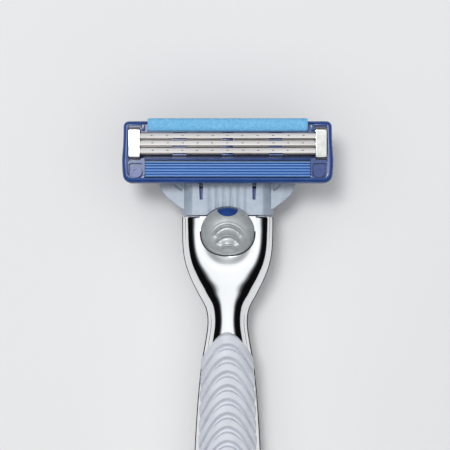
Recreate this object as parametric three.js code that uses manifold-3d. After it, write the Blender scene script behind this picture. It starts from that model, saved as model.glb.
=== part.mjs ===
// Cartridge razor lying on its back: a pivoting three-blade head on a plated handle with a release button.
// Millimetres. +Z comes out of the shaving face, +Y runs from the tail to the head, and X goes across.
// Places along the razor are given as a distance from the head's front edge, and fromHead turns them into y.
import * as THREE from 'three';
import { mergeVertices } from 'three/addons/utils/BufferGeometryUtils.js';
import Module from 'manifold-3d';

const wasm = await Module();
wasm.setup();

const razorLength = 145;
const fit = 0.08; // clearance between pieces that are pressed or moulded together
const slack = 0.3; // clearance between pieces that only lie side by side
const past = 1; // how far a cutting shape runs past the surface that it cuts
const clearTop = 20; // a height above everything, where cuts that are open at the front stop

const cartridge = { halfWidth: 20.75, top: 0.47, bottom: 12.64, back: 13.6, rim: 18.6, corner: 1.2 };
const shoulders = [[0, 0.9], [0.25, 0.35], [0.9, 0]]; // how far the rim steps in, and how far below it
const well = { halfWidth: 17.1, endHalfWidth: 18.8, top: 2.7, bottom: 7.8, endFloor: 15.4, ribTop: 15.6 };
const rail = { at: 6.95, top: 14.6 }; // the bar below the last blade, left as the floor of the well
const wellRibs = [[-10.8, -8.1], [-1.07, 1.07], [8.1, 10.8]];
const endPocket = { inner: 17, outer: 19.5, top: 1.25, bottom: 8.45, floor: 17.8 };
const cornerPocket = { inner: 16.57, outer: 19.38, top: 8.73, bottom: 11.68, floor: 17.9, corner: 0.5 };
const cornerBoss = { x: 17.9, at: 10.45, radius: 1.1, dimple: 0.59, top: 18.5, dimpleFloor: 18.2 };
const strip = { halfWidth: 15.65, top: 0, bottom: 2.5, low: 16.9, high: 19.4, crown: 0.35 };
const stripEndPocket = { outer: 16.85, top: 1.1, bottom: 2.5, floor: 17.6 };
const guard = {
  halfWidth: 16.15, grooveTop: 8.12, top: 8.42, bottom: 11.55, low: 17.3, base: 18.2, high: 18.75, fins: 6,
};

const blade = {
  count: 3, halfWidth: 18.4, firstEdge: 3.8, pitch: 1.455, edgeZ: 18.95, width: 1, thick: 0.1, bevel: 0.26,
};
const ribTooth = { gap: 0.06, width: 0.4, top: 17.8 };
const bladeTilt = THREE.MathUtils.degToRad(22);
const support = {
  front: 0.18, back: 0.95, thick: 0.2, shelf: -0.58, toe: 0.12, leg: 0.35, legLow: 2.3,
  weldGap: 0.02, notch: 0.15,
};

const clip = {
  inner: 17.2, outer: 19.3, top: 1.72, bottom: 8.03, low: 13.22, high: 19.3,
  thick: 0.25, foot: 0.85, room: 0.12,
};

const pivot = { at: 11.2, z: 12.9 };
const journal = { radius: 0.8, inner: 13.6, outer: 15.9 };
const arm = { inner: 12.2, outer: 13.7, radius: 1.25, pocketRadius: 1.6, foot: 0.6 };
const lug = { inner: 14.35, outer: 16.3, radius: 1.4, play: 0.1 };
const camLug = { halfWidth: 1.4, back: 0.6, front: 0.4, length: 3 };

const yoke = { halfWidth: 9.45, top: 12.3, bottom: 18.86, low: 4.9, high: 13.3, wingLow: 9.4, corner: 0.7 };
const yokeFlank = [[6.6, 13.42], [7.25, 13.12], [7.9, 12.5], [8.5, 11.75], [9, 10.9], [9.55, 9.6]];
const wing = { root: 7.9, tip: 13.7, end: 17.7, high: 11.4 };
const wingSweep = [[13.7, 12.5], [13.3, 14.9], [11.4, 16], [9.1, 17.7]];
const socket = { halfWidth: 6.4, top: 13.2, low: 5.9, high: 11.9 };
const barrel = { halfWidth: 2.3, low: 9.1, end: 18.7 };
const bore = { radius: 1.3, from: 14.2, to: 18.5, lipHole: 0.95 };
const notch = { halfWidth: 1.7, low: 8.9, high: 12.5, end: 13.9 };
const yokeWindow = { top: 11.9, bottom: 15.8, topX: [4.87, 5.78], endX: [4.96, 5.55] };
const flutes = { pitch: 1.45, width: 0.5, depth: 0.25, top: 12.7, bottom: 18.2, count: 6 };
const buttonRecess = { gap: 0.22, depth: 0.9 };

const plunger = { z: 10.9, tip: 0.8, tipAt: 12.45, head: 1.15, headFrom: 14.3, headTo: 15.3 };
const plungerSpring = { from: 15.42, to: 18.38, radius: 0.85, wire: 0.11, turns: 4 };

const nose = { inner: 2.6, outer: 6, low: 7.6, high: 11.5, tip: 13.4, bridge: [19.1, 19.7], root: [27, 28] };
const fork = { inner: 3, outer: 5.6, low: 6.2, high: 7.3, tip: 17, plate: [24.2, 26.4] };
const stem = { halfWidth: 2.1, from: 24.4, to: 26, high: 14.2 };
const button = { at: 22.1, halfWidth: 5.33, halfLength: 4.78, low: 13.5, side: 14.3, high: 16.9 };
const inlay = { halfWidth: 2.05, from: 17, shoulder: 17.7, to: 19.12, floor: 14.3, proud: 0.05 };
const buttonSpring = { from: 19.82, to: 24.28, radius: 1.3, wire: 0.14, turns: 5, z: 9.55 };

const collar = {
  front: 19.1, cavityHalfWidth: 6.3, cavityLow: 5.9, cavityHigh: 11.8, cavityEnd: 28.3, wellFloor: 13.2,
};
const stemSlot = { halfWidth: 2.4, from: 20.9, to: 26.4 };
const scoop = { at: 24, z: 17, radii: [5, 6.2, 3] };
const tailRound = 5;

// Handle's outside: distance from the head, half width, height of the back, height of the front, and the
// power of the superellipse that shapes its section.
const handleStations = [
  [19.1, 9.15, 4.6, 15.4, 3.3],
  [22, 9.14, 4.2, 15.9, 3.3],
  [25.7, 9, 4, 15.9, 3.2],
  [28.7, 8.5, 4, 15.5, 3],
  [31.7, 7.42, 4.1, 14.7, 2.7],
  [34.7, 5.95, 4.3, 13.7, 2.3],
  [37.7, 4.42, 4.4, 12.9, 1.9],
  [40.7, 4.06, 4.3, 12.5, 1.75],
  [44.4, 4.53, 3.7, 12.4, 1.9],
  [47, 5, 3.1, 12.5, 2.1],
  [50, 5.45, 2.4, 12.6, 2.3],
  [58, 6.2, 1, 13, 2.4],
  [68, 6.75, 0.4, 13.3, 2.4],
  [80, 6.85, 0.4, 13.3, 2.4],
  [95, 6.5, 0.4, 12.9, 2.4],
  [110, 5.95, 0.4, 12.1, 2.4],
  [125, 5.3, 0.7, 11.1, 2.35],
  [136, 4.75, 1.4, 10.1, 2.3],
  [145, 4.3, 2.2, 9.3, 2.3],
];

// Half width of each grip's outline against the distance from the head.
const frontGrip = {
  outline: [[42.3, 0], [42.6, 1.3], [43.2, 2.2], [44.2, 3.1], [45.3, 3.7], [46.4, 4.15], [48.6, 4.75],
    [58, 5.35], [75, 5.8], [95, 5.5], [112, 4.9], [121, 4], [126, 2.6], [128, 0]],
  proud: 0.25,
  depth: 1.7,
};
const backGrip = {
  outline: [[56, 0], [57.5, 2.2], [61, 4], [68, 5], [85, 5.4], [105, 4.9], [116, 3.9], [121, 2.2],
    [122.5, 0]],
  proud: 0.75,
  depth: 1.5,
};
const gripParting = 6.8; // height inside the handle that the two grips' grooves are cut from

const fromHead = (distance) => razorLength / 2 - distance;
const mirrored = (range) => [-range[1], -range[0]];
const bothSides = (range) => [range, mirrored(range)];

function solid(geometry) {
  const bare = geometry.clone();
  bare.deleteAttribute('normal');
  bare.deleteAttribute('uv');
  const merged = mergeVertices(bare, 1e-5);
  const vertProperties = new Float32Array(merged.attributes.position.array);
  const triVerts = new Uint32Array(merged.index.array);
  return new wasm.Manifold(new wasm.Mesh({ numProp: 3, vertProperties, triVerts }));
}

function toGeometry(body) {
  const mesh = body.getMesh();
  const geometry = new THREE.BufferGeometry();
  geometry.setAttribute('position', new THREE.BufferAttribute(new Float32Array(mesh.vertProperties), 3));
  geometry.setIndex(Array.from(mesh.triVerts));
  return geometry;
}

const joined = (bodies) => bodies.reduce((whole, body) => whole.add(body));
const cutBy = (body, tools) => tools.reduce((whole, tool) => whole.subtract(tool), body);

function block(xRange, alongRange, zRange) {
  const size = [xRange, alongRange, zRange].map(([low, high]) => high - low);
  const [x, at, z] = [xRange, alongRange, zRange].map(([low, high]) => (low + high) / 2);
  return solid(new THREE.BoxGeometry(...size).translate(x, fromHead(at), z));
}

// An outline seen from the front, in x and distance from the head, made into a plate between two heights.
function plate(points, low, high) {
  const shape = new THREE.Shape(points.map(([x, at]) => new THREE.Vector2(x, fromHead(at))));
  const geometry = new THREE.ExtrudeGeometry(shape, { depth: high - low, bevelEnabled: false });
  return solid(geometry.translate(0, 0, low));
}

const across = new THREE.Vector3(1, 0, 0);
const along = new THREE.Vector3(0, 1, 0);
const up = new THREE.Vector3(0, 0, 1);

function pushed(points, depth, basis) {
  const shape = new THREE.Shape(points.map(([a, b]) => new THREE.Vector2(a, b)));
  const geometry = new THREE.ExtrudeGeometry(shape, { depth, bevelEnabled: false });
  return geometry.applyMatrix4(new THREE.Matrix4().makeBasis(...basis));
}

// An outline seen from the side, in y and z, made into a bar between two places across the razor.
function bar(points, from, to) {
  return solid(pushed(points, to - from, [along, up, across]).translate(from, 0, 0));
}

// An outline seen from the head, in x and z, made into a bar between two places along the razor.
function lengthwise(points, from, to) {
  const towardsTail = along.clone().negate();
  return solid(pushed(points, to - from, [across, up, towardsTail]).translate(0, fromHead(from), 0));
}

function roundedOutline(left, right, top, bottom, radius, steps = 5) {
  const corners = [[right - radius, top + radius, -90], [right - radius, bottom - radius, 0],
    [left + radius, bottom - radius, 90], [left + radius, top + radius, 180]];
  return corners.flatMap(([x, at, start]) =>
    Array.from({ length: steps + 1 }, (_, i) => {
      const angle = THREE.MathUtils.degToRad(start + (90 * i) / steps);
      return [x + radius * Math.cos(angle), at + radius * Math.sin(angle)];
    }));
}

function ellipseOutline(x, at, halfWidth, halfLength, sides = 40) {
  return Array.from({ length: sides }, (_, i) => {
    const angle = (2 * Math.PI * i) / sides;
    return [x + halfWidth * Math.cos(angle), at + halfLength * Math.sin(angle)];
  });
}

function rodAcross(from, to, at, z, radius, sides = 20) {
  const geometry = new THREE.CylinderGeometry(radius, radius, to - from, sides).rotateZ(Math.PI / 2);
  return solid(geometry.translate((from + to) / 2, fromHead(at), z));
}

function rodAlong(from, to, z, radius, sides = 20) {
  const geometry = new THREE.CylinderGeometry(radius, radius, to - from, sides);
  return solid(geometry.translate(0, fromHead((from + to) / 2), z));
}

// A smooth curve through a table whose first column is the distance from the head.
function tableAt(table, column, at) {
  const last = table.length - 1;
  const i = Math.min(Math.max(table.findIndex((row) => row[0] > at) - 1, 0), last - 1);
  const span = at >= table[last][0] ? last - 1 : i;
  const slope = (k) => {
    const [before, after] = [table[Math.max(k - 1, 0)], table[Math.min(k + 1, last)]];
    return (after[column] - before[column]) / (after[0] - before[0]);
  };
  const [a, b] = [table[span], table[span + 1]];
  const length = b[0] - a[0];
  const t = (at - a[0]) / length;
  return (2 * t ** 3 - 3 * t ** 2 + 1) * a[column] + (t ** 3 - 2 * t ** 2 + t) * length * slope(span)
    + (3 * t ** 2 - 2 * t ** 3) * b[column] + (t ** 3 - t ** 2) * length * slope(span + 1);
}

// The handle's skin, moved outwards by offset: rings of a superellipse between two flat or rounded ends.
function handleSkin(offset, from = collar.front, steps = 34, sides = 28) {
  const to = razorLength + Math.min(offset, 0);
  const points = [];
  for (let step = 0; step <= steps; step += 1) {
    const share = step / steps;
    const at = from + (to - from) * (share < 0.9 ? share : 1 - ((1 - share) ** 2) / 0.1);
    const intoTail = Math.max(0, (at - (to - tailRound)) / tailRound);
    const shrink = Math.max(0.06, Math.sqrt(1 - intoTail ** 2));
    const [back, front, power] = [2, 3, 4].map((column) => tableAt(handleStations, column, at));
    const halfWidth = (tableAt(handleStations, 1, at) + offset) * shrink;
    const halfHeight = ((front - back) / 2 + offset) * shrink;
    for (let side = 0; side < sides; side += 1) {
      const angle = (2 * Math.PI * side) / sides;
      const [c, s] = [Math.cos(angle), Math.sin(angle)];
      const x = halfWidth * Math.sign(c) * Math.abs(c) ** (2 / power);
      const z = (front + back) / 2 + halfHeight * Math.sign(s) * Math.abs(s) ** (2 / power);
      points.push([x, fromHead(at), z]);
    }
  }
  return skinSolid(points, sides);
}

// Closes rings of points into a body, with a fan of triangles at each end.
function skinSolid(points, sides) {
  const rings = points.length / sides;
  const triangles = [];
  for (let ring = 0; ring < rings - 1; ring += 1) {
    for (let side = 0; side < sides; side += 1) {
      const next = (side + 1) % sides;
      const [a, b] = [ring * sides + side, ring * sides + next];
      triangles.push(a, b, b + sides, a, b + sides, a + sides);
    }
  }
  const last = (rings - 1) * sides;
  for (let side = 1; side < sides - 1; side += 1) {
    triangles.push(0, side + 1, side, last, last + side, last + side + 1);
  }
  const geometry = new THREE.BufferGeometry();
  geometry.setAttribute('position', new THREE.Float32BufferAttribute(points.flat(), 3));
  geometry.setIndex(triangles);
  return solid(geometry);
}

// An outline given as half widths along the razor, closed by its mirror image and grown by an offset.
function stripOutline(table, offset) {
  const steps = 20;
  const [from, to] = [table[0][0], table[table.length - 1][0]];
  const flatEnd = 0.3;
  const side = Array.from({ length: steps + 1 }, (_, i) => {
    const share = (1 - Math.cos((Math.PI * i) / steps)) / 2;
    const at = from + (to - from) * share;
    if (i === 0) return [flatEnd, at - offset];
    if (i === steps) return [flatEnd, at + offset];
    return [Math.max(tableAt(table, 1, at) + offset, flatEnd), at];
  });
  return [...side, ...side.map(([x, at]) => [-x, at]).reverse()];
}

class Helix extends THREE.Curve {
  constructor(spec, z) {
    super();
    Object.assign(this, { spec, z });
  }

  getPoint(t, target = new THREE.Vector3()) {
    const { from, to, radius, wire, turns } = this.spec;
    const angle = 2 * Math.PI * turns * t;
    const at = from + wire + (to - from - 2 * wire) * t;
    return target.set(radius * Math.cos(angle), fromHead(at), this.z + radius * Math.sin(angle));
  }
}

function coilSpring(spec, z) {
  const sides = 5;
  const section = new THREE.Shape(Array.from({ length: sides }, (_, i) => {
    const angle = (2 * Math.PI * i) / sides;
    return new THREE.Vector2(spec.wire * Math.cos(angle), spec.wire * Math.sin(angle));
  }));
  const path = { steps: spec.turns * 10, extrudePath: new Helix(spec, z), bevelEnabled: false };
  return solid(new THREE.ExtrudeGeometry(section, path));
}

function cartridgeHousing() {
  const { back, rim } = cartridge;
  const above = rim + past;
  const stripSide = strip.halfWidth + fit;
  const guardSide = guard.halfWidth + fit;
  let housing = cutBy(housingBlock(), [
    block([-well.halfWidth, well.halfWidth], [well.top, rail.at], [back - past, above]),
    block([-well.halfWidth, well.halfWidth], [well.top, well.bottom], [rail.top, above]),
    block([-well.endHalfWidth, well.endHalfWidth], [well.top, well.bottom], [well.endFloor, above]),
    block([-stripSide, stripSide], [-past, strip.bottom + fit], [strip.low - fit, above]),
    block([-guardSide, guardSide], [guard.grooveTop, guard.bottom + fit], [guard.low - fit, above]),
  ]);
  housing = joined([housing, ...wellRibs.flatMap((range) => wellRib(range))]);
  for (const side of [-1, 1]) {
    const boring = sideRange(side, lug.inner - past, journal.outer + fit);
    housing = cutBy(housing, housingEndCuts(side));
    housing = joined([housing, bearingLug(side), cornerBossSolid(side)]);
    housing = housing.subtract(rodAcross(...boring, pivot.at, pivot.z, journal.radius + lug.play));
  }
  return housing.add(plungerLug());
}

// The housing's outside: a rounded rectangle whose rim steps in like a soft shoulder.
function housingBlock() {
  const { halfWidth, top, bottom, back, rim, corner } = cartridge;
  return wasm.Manifold.hull(shoulders.map(([inset, drop]) => {
    const radius = Math.max(corner - inset, slack);
    const outline = roundedOutline(inset - halfWidth, halfWidth - inset, top + inset, bottom - inset, radius);
    return plate(outline, back, rim - drop);
  }));
}

// A rib across the open middle of the housing, with a tooth that stands up behind each blade's edge.
function wellRib(range) {
  const base = block(range, [well.top - fit, well.bottom + fit], [cartridge.back, well.ribTop]);
  const teeth = Array.from({ length: blade.count }, (_, i) => {
    const from = blade.firstEdge + i * blade.pitch + ribTooth.gap;
    return block(range, [from, from + ribTooth.width], [well.ribTop - fit, ribTooth.top]);
  });
  return [base, ...teeth];
}

const sideRange = (side, inner, outer) => (side > 0 ? [inner, outer] : [-outer, -inner]);

function housingEndCuts(side) {
  const { rim, back } = cartridge;
  const pocket = cornerPocket;
  const pocketRange = sideRange(side, pocket.inner, pocket.outer);
  const pocketOutline = roundedOutline(...pocketRange, pocket.top, pocket.bottom, pocket.corner, 3);
  const clipSlot = sideRange(side, clip.inner - clip.room, clip.outer + clip.room);
  const topSlot = [clip.top - clip.room, clip.top + clip.thick + clip.room];
  const bottomSlot = [clip.bottom - clip.thick - clip.room, clip.bottom + clip.room];
  return [
    block(sideRange(side, strip.halfWidth, stripEndPocket.outer), [stripEndPocket.top, stripEndPocket.bottom],
      [stripEndPocket.floor, rim + past]),
    block(sideRange(side, endPocket.inner, endPocket.outer), [endPocket.top, endPocket.bottom],
      [endPocket.floor, rim + past]),
    plate(pocketOutline, pocket.floor, rim + past),
    block(clipSlot, topSlot, [back - past, rim + past]),
    block(clipSlot, bottomSlot, [back - past, rim + past]),
    block(sideRange(side, arm.inner - slack, lug.inner),
      [pivot.at - arm.pocketRadius, cartridge.bottom + past], [back - past, pivot.z + arm.pocketRadius]),
  ];
}

function cornerBossSolid(side) {
  const x = side * cornerBoss.x;
  const boss = plate(ellipseOutline(x, cornerBoss.at, cornerBoss.radius, cornerBoss.radius, 24),
    cornerPocket.floor - fit, cornerBoss.top);
  const dimple = plate(ellipseOutline(x, cornerBoss.at, cornerBoss.dimple, cornerBoss.dimple, 16),
    cornerBoss.dimpleFloor, cornerBoss.top + past);
  return boss.subtract(dimple);
}

// The ear under each end of the housing that turns on the connector's journal.
function bearingLug(side) {
  const range = sideRange(side, lug.inner, lug.outer);
  const round = rodAcross(...range, pivot.at, pivot.z, lug.radius, 24);
  const rootAt = [pivot.at - lug.radius, cartridge.bottom - slack];
  const root = block(range, rootAt, [pivot.z, cartridge.back + fit]);
  return round.add(root);
}

// The lug under the middle of the housing that the sprung plunger presses on.
function plungerLug() {
  return block([-camLug.halfWidth, camLug.halfWidth], [pivot.at - camLug.back, pivot.at + camLug.front],
    [pivot.z - camLug.length, cartridge.back + fit]);
}

function lubricatingStrip() {
  const { top, bottom, low, high, crown, halfWidth } = strip;
  const [y0, y1] = [fromHead(bottom), fromHead(top)];
  const lip = low + 0.6; // where the strip starts to overhang the housing's front edge
  const steps = 6;
  const crest = Array.from({ length: steps + 1 }, (_, i) => {
    const share = (2 * i) / steps - 1;
    return [y1 + ((y0 - y1) * i) / steps, high - crown * share ** 2];
  });
  const sill = fromHead(cartridge.top + fit);
  return bar([[y0, low], [sill, low], [sill, lip], [y1, lip + crown], ...crest], -halfWidth, halfWidth);
}

function guardFins() {
  const { halfWidth, top, bottom, low, base, high, fins } = guard;
  const pitch = (bottom - top) / fins;
  const crest = [0.25, 0.6]; // where a fin's flat top starts and ends, as shares of the pitch
  const teeth = Array.from({ length: fins }, (_, i) => {
    const at = bottom - i * pitch;
    return [[fromHead(at), base], ...crest.map((share) => [fromHead(at - share * pitch), high])];
  }).flat();
  const profile = [[fromHead(bottom), low], ...teeth, [fromHead(top), base], [fromHead(top), low]];
  return bar(profile, -halfWidth, halfWidth);
}

// A spring-steel band over each end of the blade stack, bent under the housing.
function retainingClip(side) {
  const { inner, outer, top, bottom, low, high, thick, foot } = clip;
  const y = (along) => fromHead(along);
  const profile = [
    [y(top), high], [y(bottom), high], [y(bottom), low], [y(bottom - foot), low],
    [y(bottom - foot), low + thick], [y(bottom - thick), low + thick], [y(bottom - thick), high - thick],
    [y(top + thick), high - thick], [y(top + thick), low + thick], [y(top + foot), low + thick],
    [y(top + foot), low], [y(top), low],
  ];
  return bar(profile, ...sideRange(side, inner, outer));
}

// A point in a blade's own section: along the blade from its edge, and above its top face.
const inBlade = (along, above) => [
  along * Math.cos(bladeTilt) + above * Math.sin(bladeTilt),
  -along * Math.sin(bladeTilt) + above * Math.cos(bladeTilt),
];

function bladeStrip() {
  const { width, thick, bevel, halfWidth } = blade;
  const profile = [inBlade(0, 0), inBlade(bevel, -thick), inBlade(width, -thick), inBlade(width, 0)];
  return bar(profile, -halfWidth, halfWidth);
}

// The bent bar under a blade: a sloping ledge that the blade is welded to, a step down in front of the
// blade's edge, and a leg that stands in the housing. It is notched where the housing's ribs stand up.
function bladeSupport() {
  const { front, back, thick, shelf, leg, legLow, weldGap, notch: room, toe } = support;
  const top = -blade.thick - weldGap;
  const profile = [
    inBlade(back, top), inBlade(front, top), [-weldGap, shelf + fit], [-leg, shelf], [-leg, -legLow],
    [thick - leg, -legLow], [thick - leg, shelf - thick], [toe, shelf - thick / 2],
    inBlade(front + thick / 2, top - thick), inBlade(back, top - thick),
  ];
  const [outside, inside] = [-leg - past, -weldGap];
  const notchProfile = [[outside, -legLow - past], [inside, -legLow - past], [inside, past], [outside, past]];
  const notches = wellRibs.map(([left, right]) => bar(notchProfile, left - room, right + room));
  return cutBy(bar(profile, -blade.halfWidth, blade.halfWidth), notches);
}

function connectorYoke() {
  const { halfWidth, top, bottom, low, high, wingLow, corner } = yoke;
  const body = plate(roundedOutline(-halfWidth, halfWidth, top, bottom, corner, 4), low, high);
  const wings = [-1, 1].map((side) => yokeWing(side, wingLow, wing.high));
  const arms = [-1, 1].map((side) => yokeArm(side));
  let whole = joined([cutBy(body, [flankCut(-1), flankCut(1)]), ...wings, ...arms]);
  whole = whole.subtract(block([-socket.halfWidth, socket.halfWidth], [socket.top, bottom + past],
    [socket.low, socket.high]));
  whole = whole.add(block([-barrel.halfWidth, barrel.halfWidth], [socket.top - fit, barrel.end],
    [barrel.low, socket.high + fit]));
  const windows = [-1, 1].map((side) => yokeWindowCut(side));
  const grooves = Array.from({ length: flutes.count }, (_, i) => {
    const x = (i - (flutes.count - 1) / 2) * flutes.pitch;
    return block([x - flutes.width / 2, x + flutes.width / 2], [flutes.top, flutes.bottom],
      [high - flutes.depth, high + past]);
  });
  const { gap, depth } = buttonRecess;
  const recess = ellipseOutline(0, button.at, button.halfWidth + gap, button.halfLength + gap);
  return cutBy(whole, [
    block([-notch.halfWidth, notch.halfWidth], [top - past, notch.end], [notch.low, notch.high]),
    rodAlong(notch.end - past, bore.from + past, plunger.z, bore.lipHole),
    rodAlong(bore.from, bore.to, plunger.z, bore.radius),
    plate(recess, high - depth, high + past),
    ...windows,
    ...grooves,
  ]);
}

// The curved shoulder beside the block, drawn as an arc that sweeps in to the block's corner.
function yokeWing(side, low, high) {
  const sweep = new THREE.CubicBezierCurve(...wingSweep.map(([x, at]) => new THREE.Vector2(x, at)));
  const outer = sweep.getPoints(8).map((point) => [side * point.x, point.y]);
  const straight = [[side * wing.root, yoke.top], [side * wing.tip, yoke.top]];
  return plate([...straight, ...outer, [side * wing.root, wing.end]], low, high);
}

// Rounds the block's long edge, so that it drops away to the shoulder beside it.
function flankCut(side) {
  const [inner, outer] = [yokeFlank[0][0], yokeFlank[yokeFlank.length - 1][0]];
  const corners = [...yokeFlank, [outer, clearTop], [inner, clearTop]];
  return lengthwise(corners.map(([x, z]) => [side * x, z]), yoke.top - past, yoke.bottom + past);
}

function yokeArm(side) {
  const range = sideRange(side, arm.inner, arm.outer);
  const y = fromHead(pivot.at);
  const round = Array.from({ length: 13 }, (_, i) => {
    const angle = THREE.MathUtils.degToRad(-90 + 15 * i);
    return [y + arm.radius * Math.cos(angle), pivot.z + arm.radius * Math.sin(angle)];
  });
  const foot = fromHead(yoke.top + arm.foot);
  const body = bar([...round, [foot, wing.high - fit], [foot, yoke.wingLow + fit]], ...range);
  const pin = sideRange(side, journal.inner, journal.outer);
  return body.add(rodAcross(...pin, pivot.at, pivot.z, journal.radius));
}

function yokeWindowCut(side) {
  const { top, bottom, topX, endX } = yokeWindow;
  const corners = [[topX[0], top], [topX[1], top], [endX[1], bottom], [endX[0], bottom]];
  return plate(corners.map(([x, at]) => [side * x, at]), socket.high - past, yoke.high + past);
}

function plungerPin() {
  const { z, tip, tipAt, head, headFrom, headTo } = plunger;
  const ball = solid(new THREE.SphereGeometry(tip, 12, 8).translate(0, fromHead(tipAt), z));
  return joined([ball, rodAlong(tipAt, headFrom + fit, z, tip), rodAlong(headFrom, headTo, z, head)]);
}

function dockingNose() {
  const { inner, outer, low, high, tip, bridge, root } = nose;
  const prongs = bothSides([inner, outer]).map((range) => block(range, [tip, root[1]], [low, high]));
  const bridges = [bridge, root].map((range) => block([-inner - fit, inner + fit], range, [low, high]));
  return joined([...prongs, ...bridges]);
}

function ejectorFork() {
  const tines = bothSides([fork.inner, fork.outer]).map((range) =>
    block(range, [fork.tip, fork.plate[0] + fit], [fork.low, fork.high]));
  const plateBody = block([-fork.outer, fork.outer], fork.plate, [fork.low, fork.high]);
  const post = block([-stem.halfWidth, stem.halfWidth], [stem.from, stem.to], [fork.high - fit, stem.high]);
  return joined([plateBody, post, ...tines]);
}

// The inlay runs out over the cap's edge, and its lower side is half an ellipse.
function inlayOutline(margin) {
  const { from, shoulder, to } = inlay;
  const reach = inlay.halfWidth + margin;
  const steps = 10;
  const lower = Array.from({ length: steps + 1 }, (_, i) => {
    const angle = (Math.PI * i) / steps;
    return [reach * Math.cos(angle), shoulder + (to - shoulder + margin) * Math.sin(angle)];
  });
  return [[-reach, from], [reach, from], ...lower];
}

// The cap's dome over its straight side wall, before anything is cut from it.
function buttonDome(grow) {
  const { at, halfWidth, halfLength, side, high, low } = button;
  const outline = ellipseOutline(0, at, halfWidth, halfLength);
  const dome = new THREE.SphereGeometry(1, outline.length, 12);
  dome.scale(halfWidth, halfLength, high - side + grow).translate(0, fromHead(at), side);
  return plate(outline, low, side).add(solid(dome).intersect(plate(outline, side - fit, clearTop)));
}

function buttonCap() {
  const pocket = block([-stem.halfWidth - fit, stem.halfWidth + fit], [stem.from - fit, stem.to + fit],
    [button.low - past, stem.high + fit]);
  const inlaySeat = plate(inlayOutline(fit), inlay.floor - fit, clearTop);
  return cutBy(buttonDome(0), [pocket, inlaySeat]);
}

function buttonInlay() {
  return buttonDome(inlay.proud).intersect(plate(inlayOutline(0), inlay.floor, clearTop));
}

function gripGroove(grip, margin, isFront) {
  const [low, high] = isFront ? [gripParting, clearTop] : [-past, gripParting];
  const floor = handleSkin(margin > 0 ? -grip.depth : fit - grip.depth);
  return plate(stripOutline(grip.outline, margin), low, high).subtract(floor);
}

function handleCasting() {
  const skin = handleSkin(0);
  const { cavityHalfWidth, cavityLow, cavityHigh, cavityEnd, wellFloor, front } = collar;
  const wellOutline = ellipseOutline(0, button.at, button.halfWidth + slack, button.halfLength + slack);
  const side = button.halfWidth + slack;
  const dish = new THREE.SphereGeometry(1, 32, 16).scale(...scoop.radii);
  return cutBy(skin, [
    block([-cavityHalfWidth, cavityHalfWidth], [front - past, cavityEnd], [cavityLow, cavityHigh]),
    plate(wellOutline, wellFloor, clearTop),
    block([-side, side], [front - past, button.at], [wellFloor, clearTop]),
    block([-stemSlot.halfWidth, stemSlot.halfWidth], [stemSlot.from, stemSlot.to],
      [cavityHigh - past, wellFloor + past]),
    solid(dish.translate(0, fromHead(scoop.at), scoop.z)),
    gripGroove(frontGrip, fit, true),
    gripGroove(backGrip, fit, false),
  ]);
}

function frontGripPad() {
  return handleSkin(frontGrip.proud).intersect(gripGroove(frontGrip, 0, true));
}

// The back pad is moulded with a flat that the razor lies on.
function backGripPad() {
  const pad = handleSkin(backGrip.proud).intersect(gripGroove(backGrip, 0, false));
  const aboveFlat = block([-cartridge.halfWidth, cartridge.halfWidth], [0, razorLength], [0, gripParting]);
  return pad.intersect(aboveFlat);
}

const finishes = {
  chrome: { color: '#dfe3e6', roughness: 0.08, metalness: 1 },
  steel: { color: '#d9d8d4', roughness: 0.25, metalness: 1 },
  springSteel: { color: '#b9bbbd', roughness: 0.35, metalness: 1 },
  clipSteel: { color: '#e9ebee', roughness: 0.3, metalness: 0.8 },
  navyPlastic: { color: '#26366e', roughness: 0.3, metalness: 0 },
  housingPlastic: { color: '#2c4a8c', roughness: 0.28, metalness: 0 },
  finRubber: { color: '#4577c1', roughness: 0.5, metalness: 0 },
  stripWax: { color: '#7cc0e8', roughness: 0.7, metalness: 0 },
  satinPlastic: { color: '#b8c2cd', roughness: 0.4, metalness: 0 },
  buttonPlastic: { color: '#9ba1a0', roughness: 0.42, metalness: 0 },
  gripRubber: { color: '#d3d6dc', roughness: 0.6, metalness: 0 },
};

function named(name, body, finish) {
  const mesh = new THREE.Mesh(toGeometry(body), new THREE.MeshStandardMaterial(finishes[finish]));
  mesh.name = name;
  return mesh;
}

const handle = new THREE.Group();
handle.add(named('handle_casting', handleCasting(), 'chrome'));
handle.add(named('front_grip', frontGripPad(), 'gripRubber'));
handle.add(named('back_grip', backGripPad(), 'gripRubber'));
handle.add(named('docking_nose', dockingNose(), 'navyPlastic'));

const releaseButton = new THREE.Group();
releaseButton.add(named('button_cap', buttonCap(), 'buttonPlastic'));
releaseButton.add(named('button_inlay', buttonInlay(), 'navyPlastic'));
releaseButton.add(named('ejector_fork', ejectorFork(), 'satinPlastic'));
releaseButton.add(named('button_spring', coilSpring(buttonSpring, buttonSpring.z), 'springSteel'));

const connector = new THREE.Group();
connector.add(named('connector_yoke', connectorYoke(), 'satinPlastic'));
connector.add(named('plunger', plungerPin(), 'satinPlastic'));
connector.add(named('plunger_spring', coilSpring(plungerSpring, plunger.z), 'springSteel'));

const head = new THREE.Group();
head.add(named('cartridge_housing', cartridgeHousing(), 'housingPlastic'));
head.add(named('lubricating_strip', lubricatingStrip(), 'stripWax'));
head.add(named('guard_fins', guardFins(), 'finRubber'));
head.add(named('clip_left', retainingClip(-1), 'clipSteel'));
head.add(named('clip_right', retainingClip(1), 'clipSteel'));

for (let index = 0; index < blade.count; index += 1) {
  const bladeUnit = new THREE.Group();
  bladeUnit.position.set(0, fromHead(blade.firstEdge + index * blade.pitch), blade.edgeZ);
  bladeUnit.add(named(`blade_${index + 1}`, bladeStrip(), 'steel'));
  bladeUnit.add(named(`blade_support_${index + 1}`, bladeSupport(), 'steel'));
  head.add(bladeUnit);
}

const razor = new THREE.Group();
razor.add(handle, releaseButton, connector, head);

export default razor;
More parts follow.
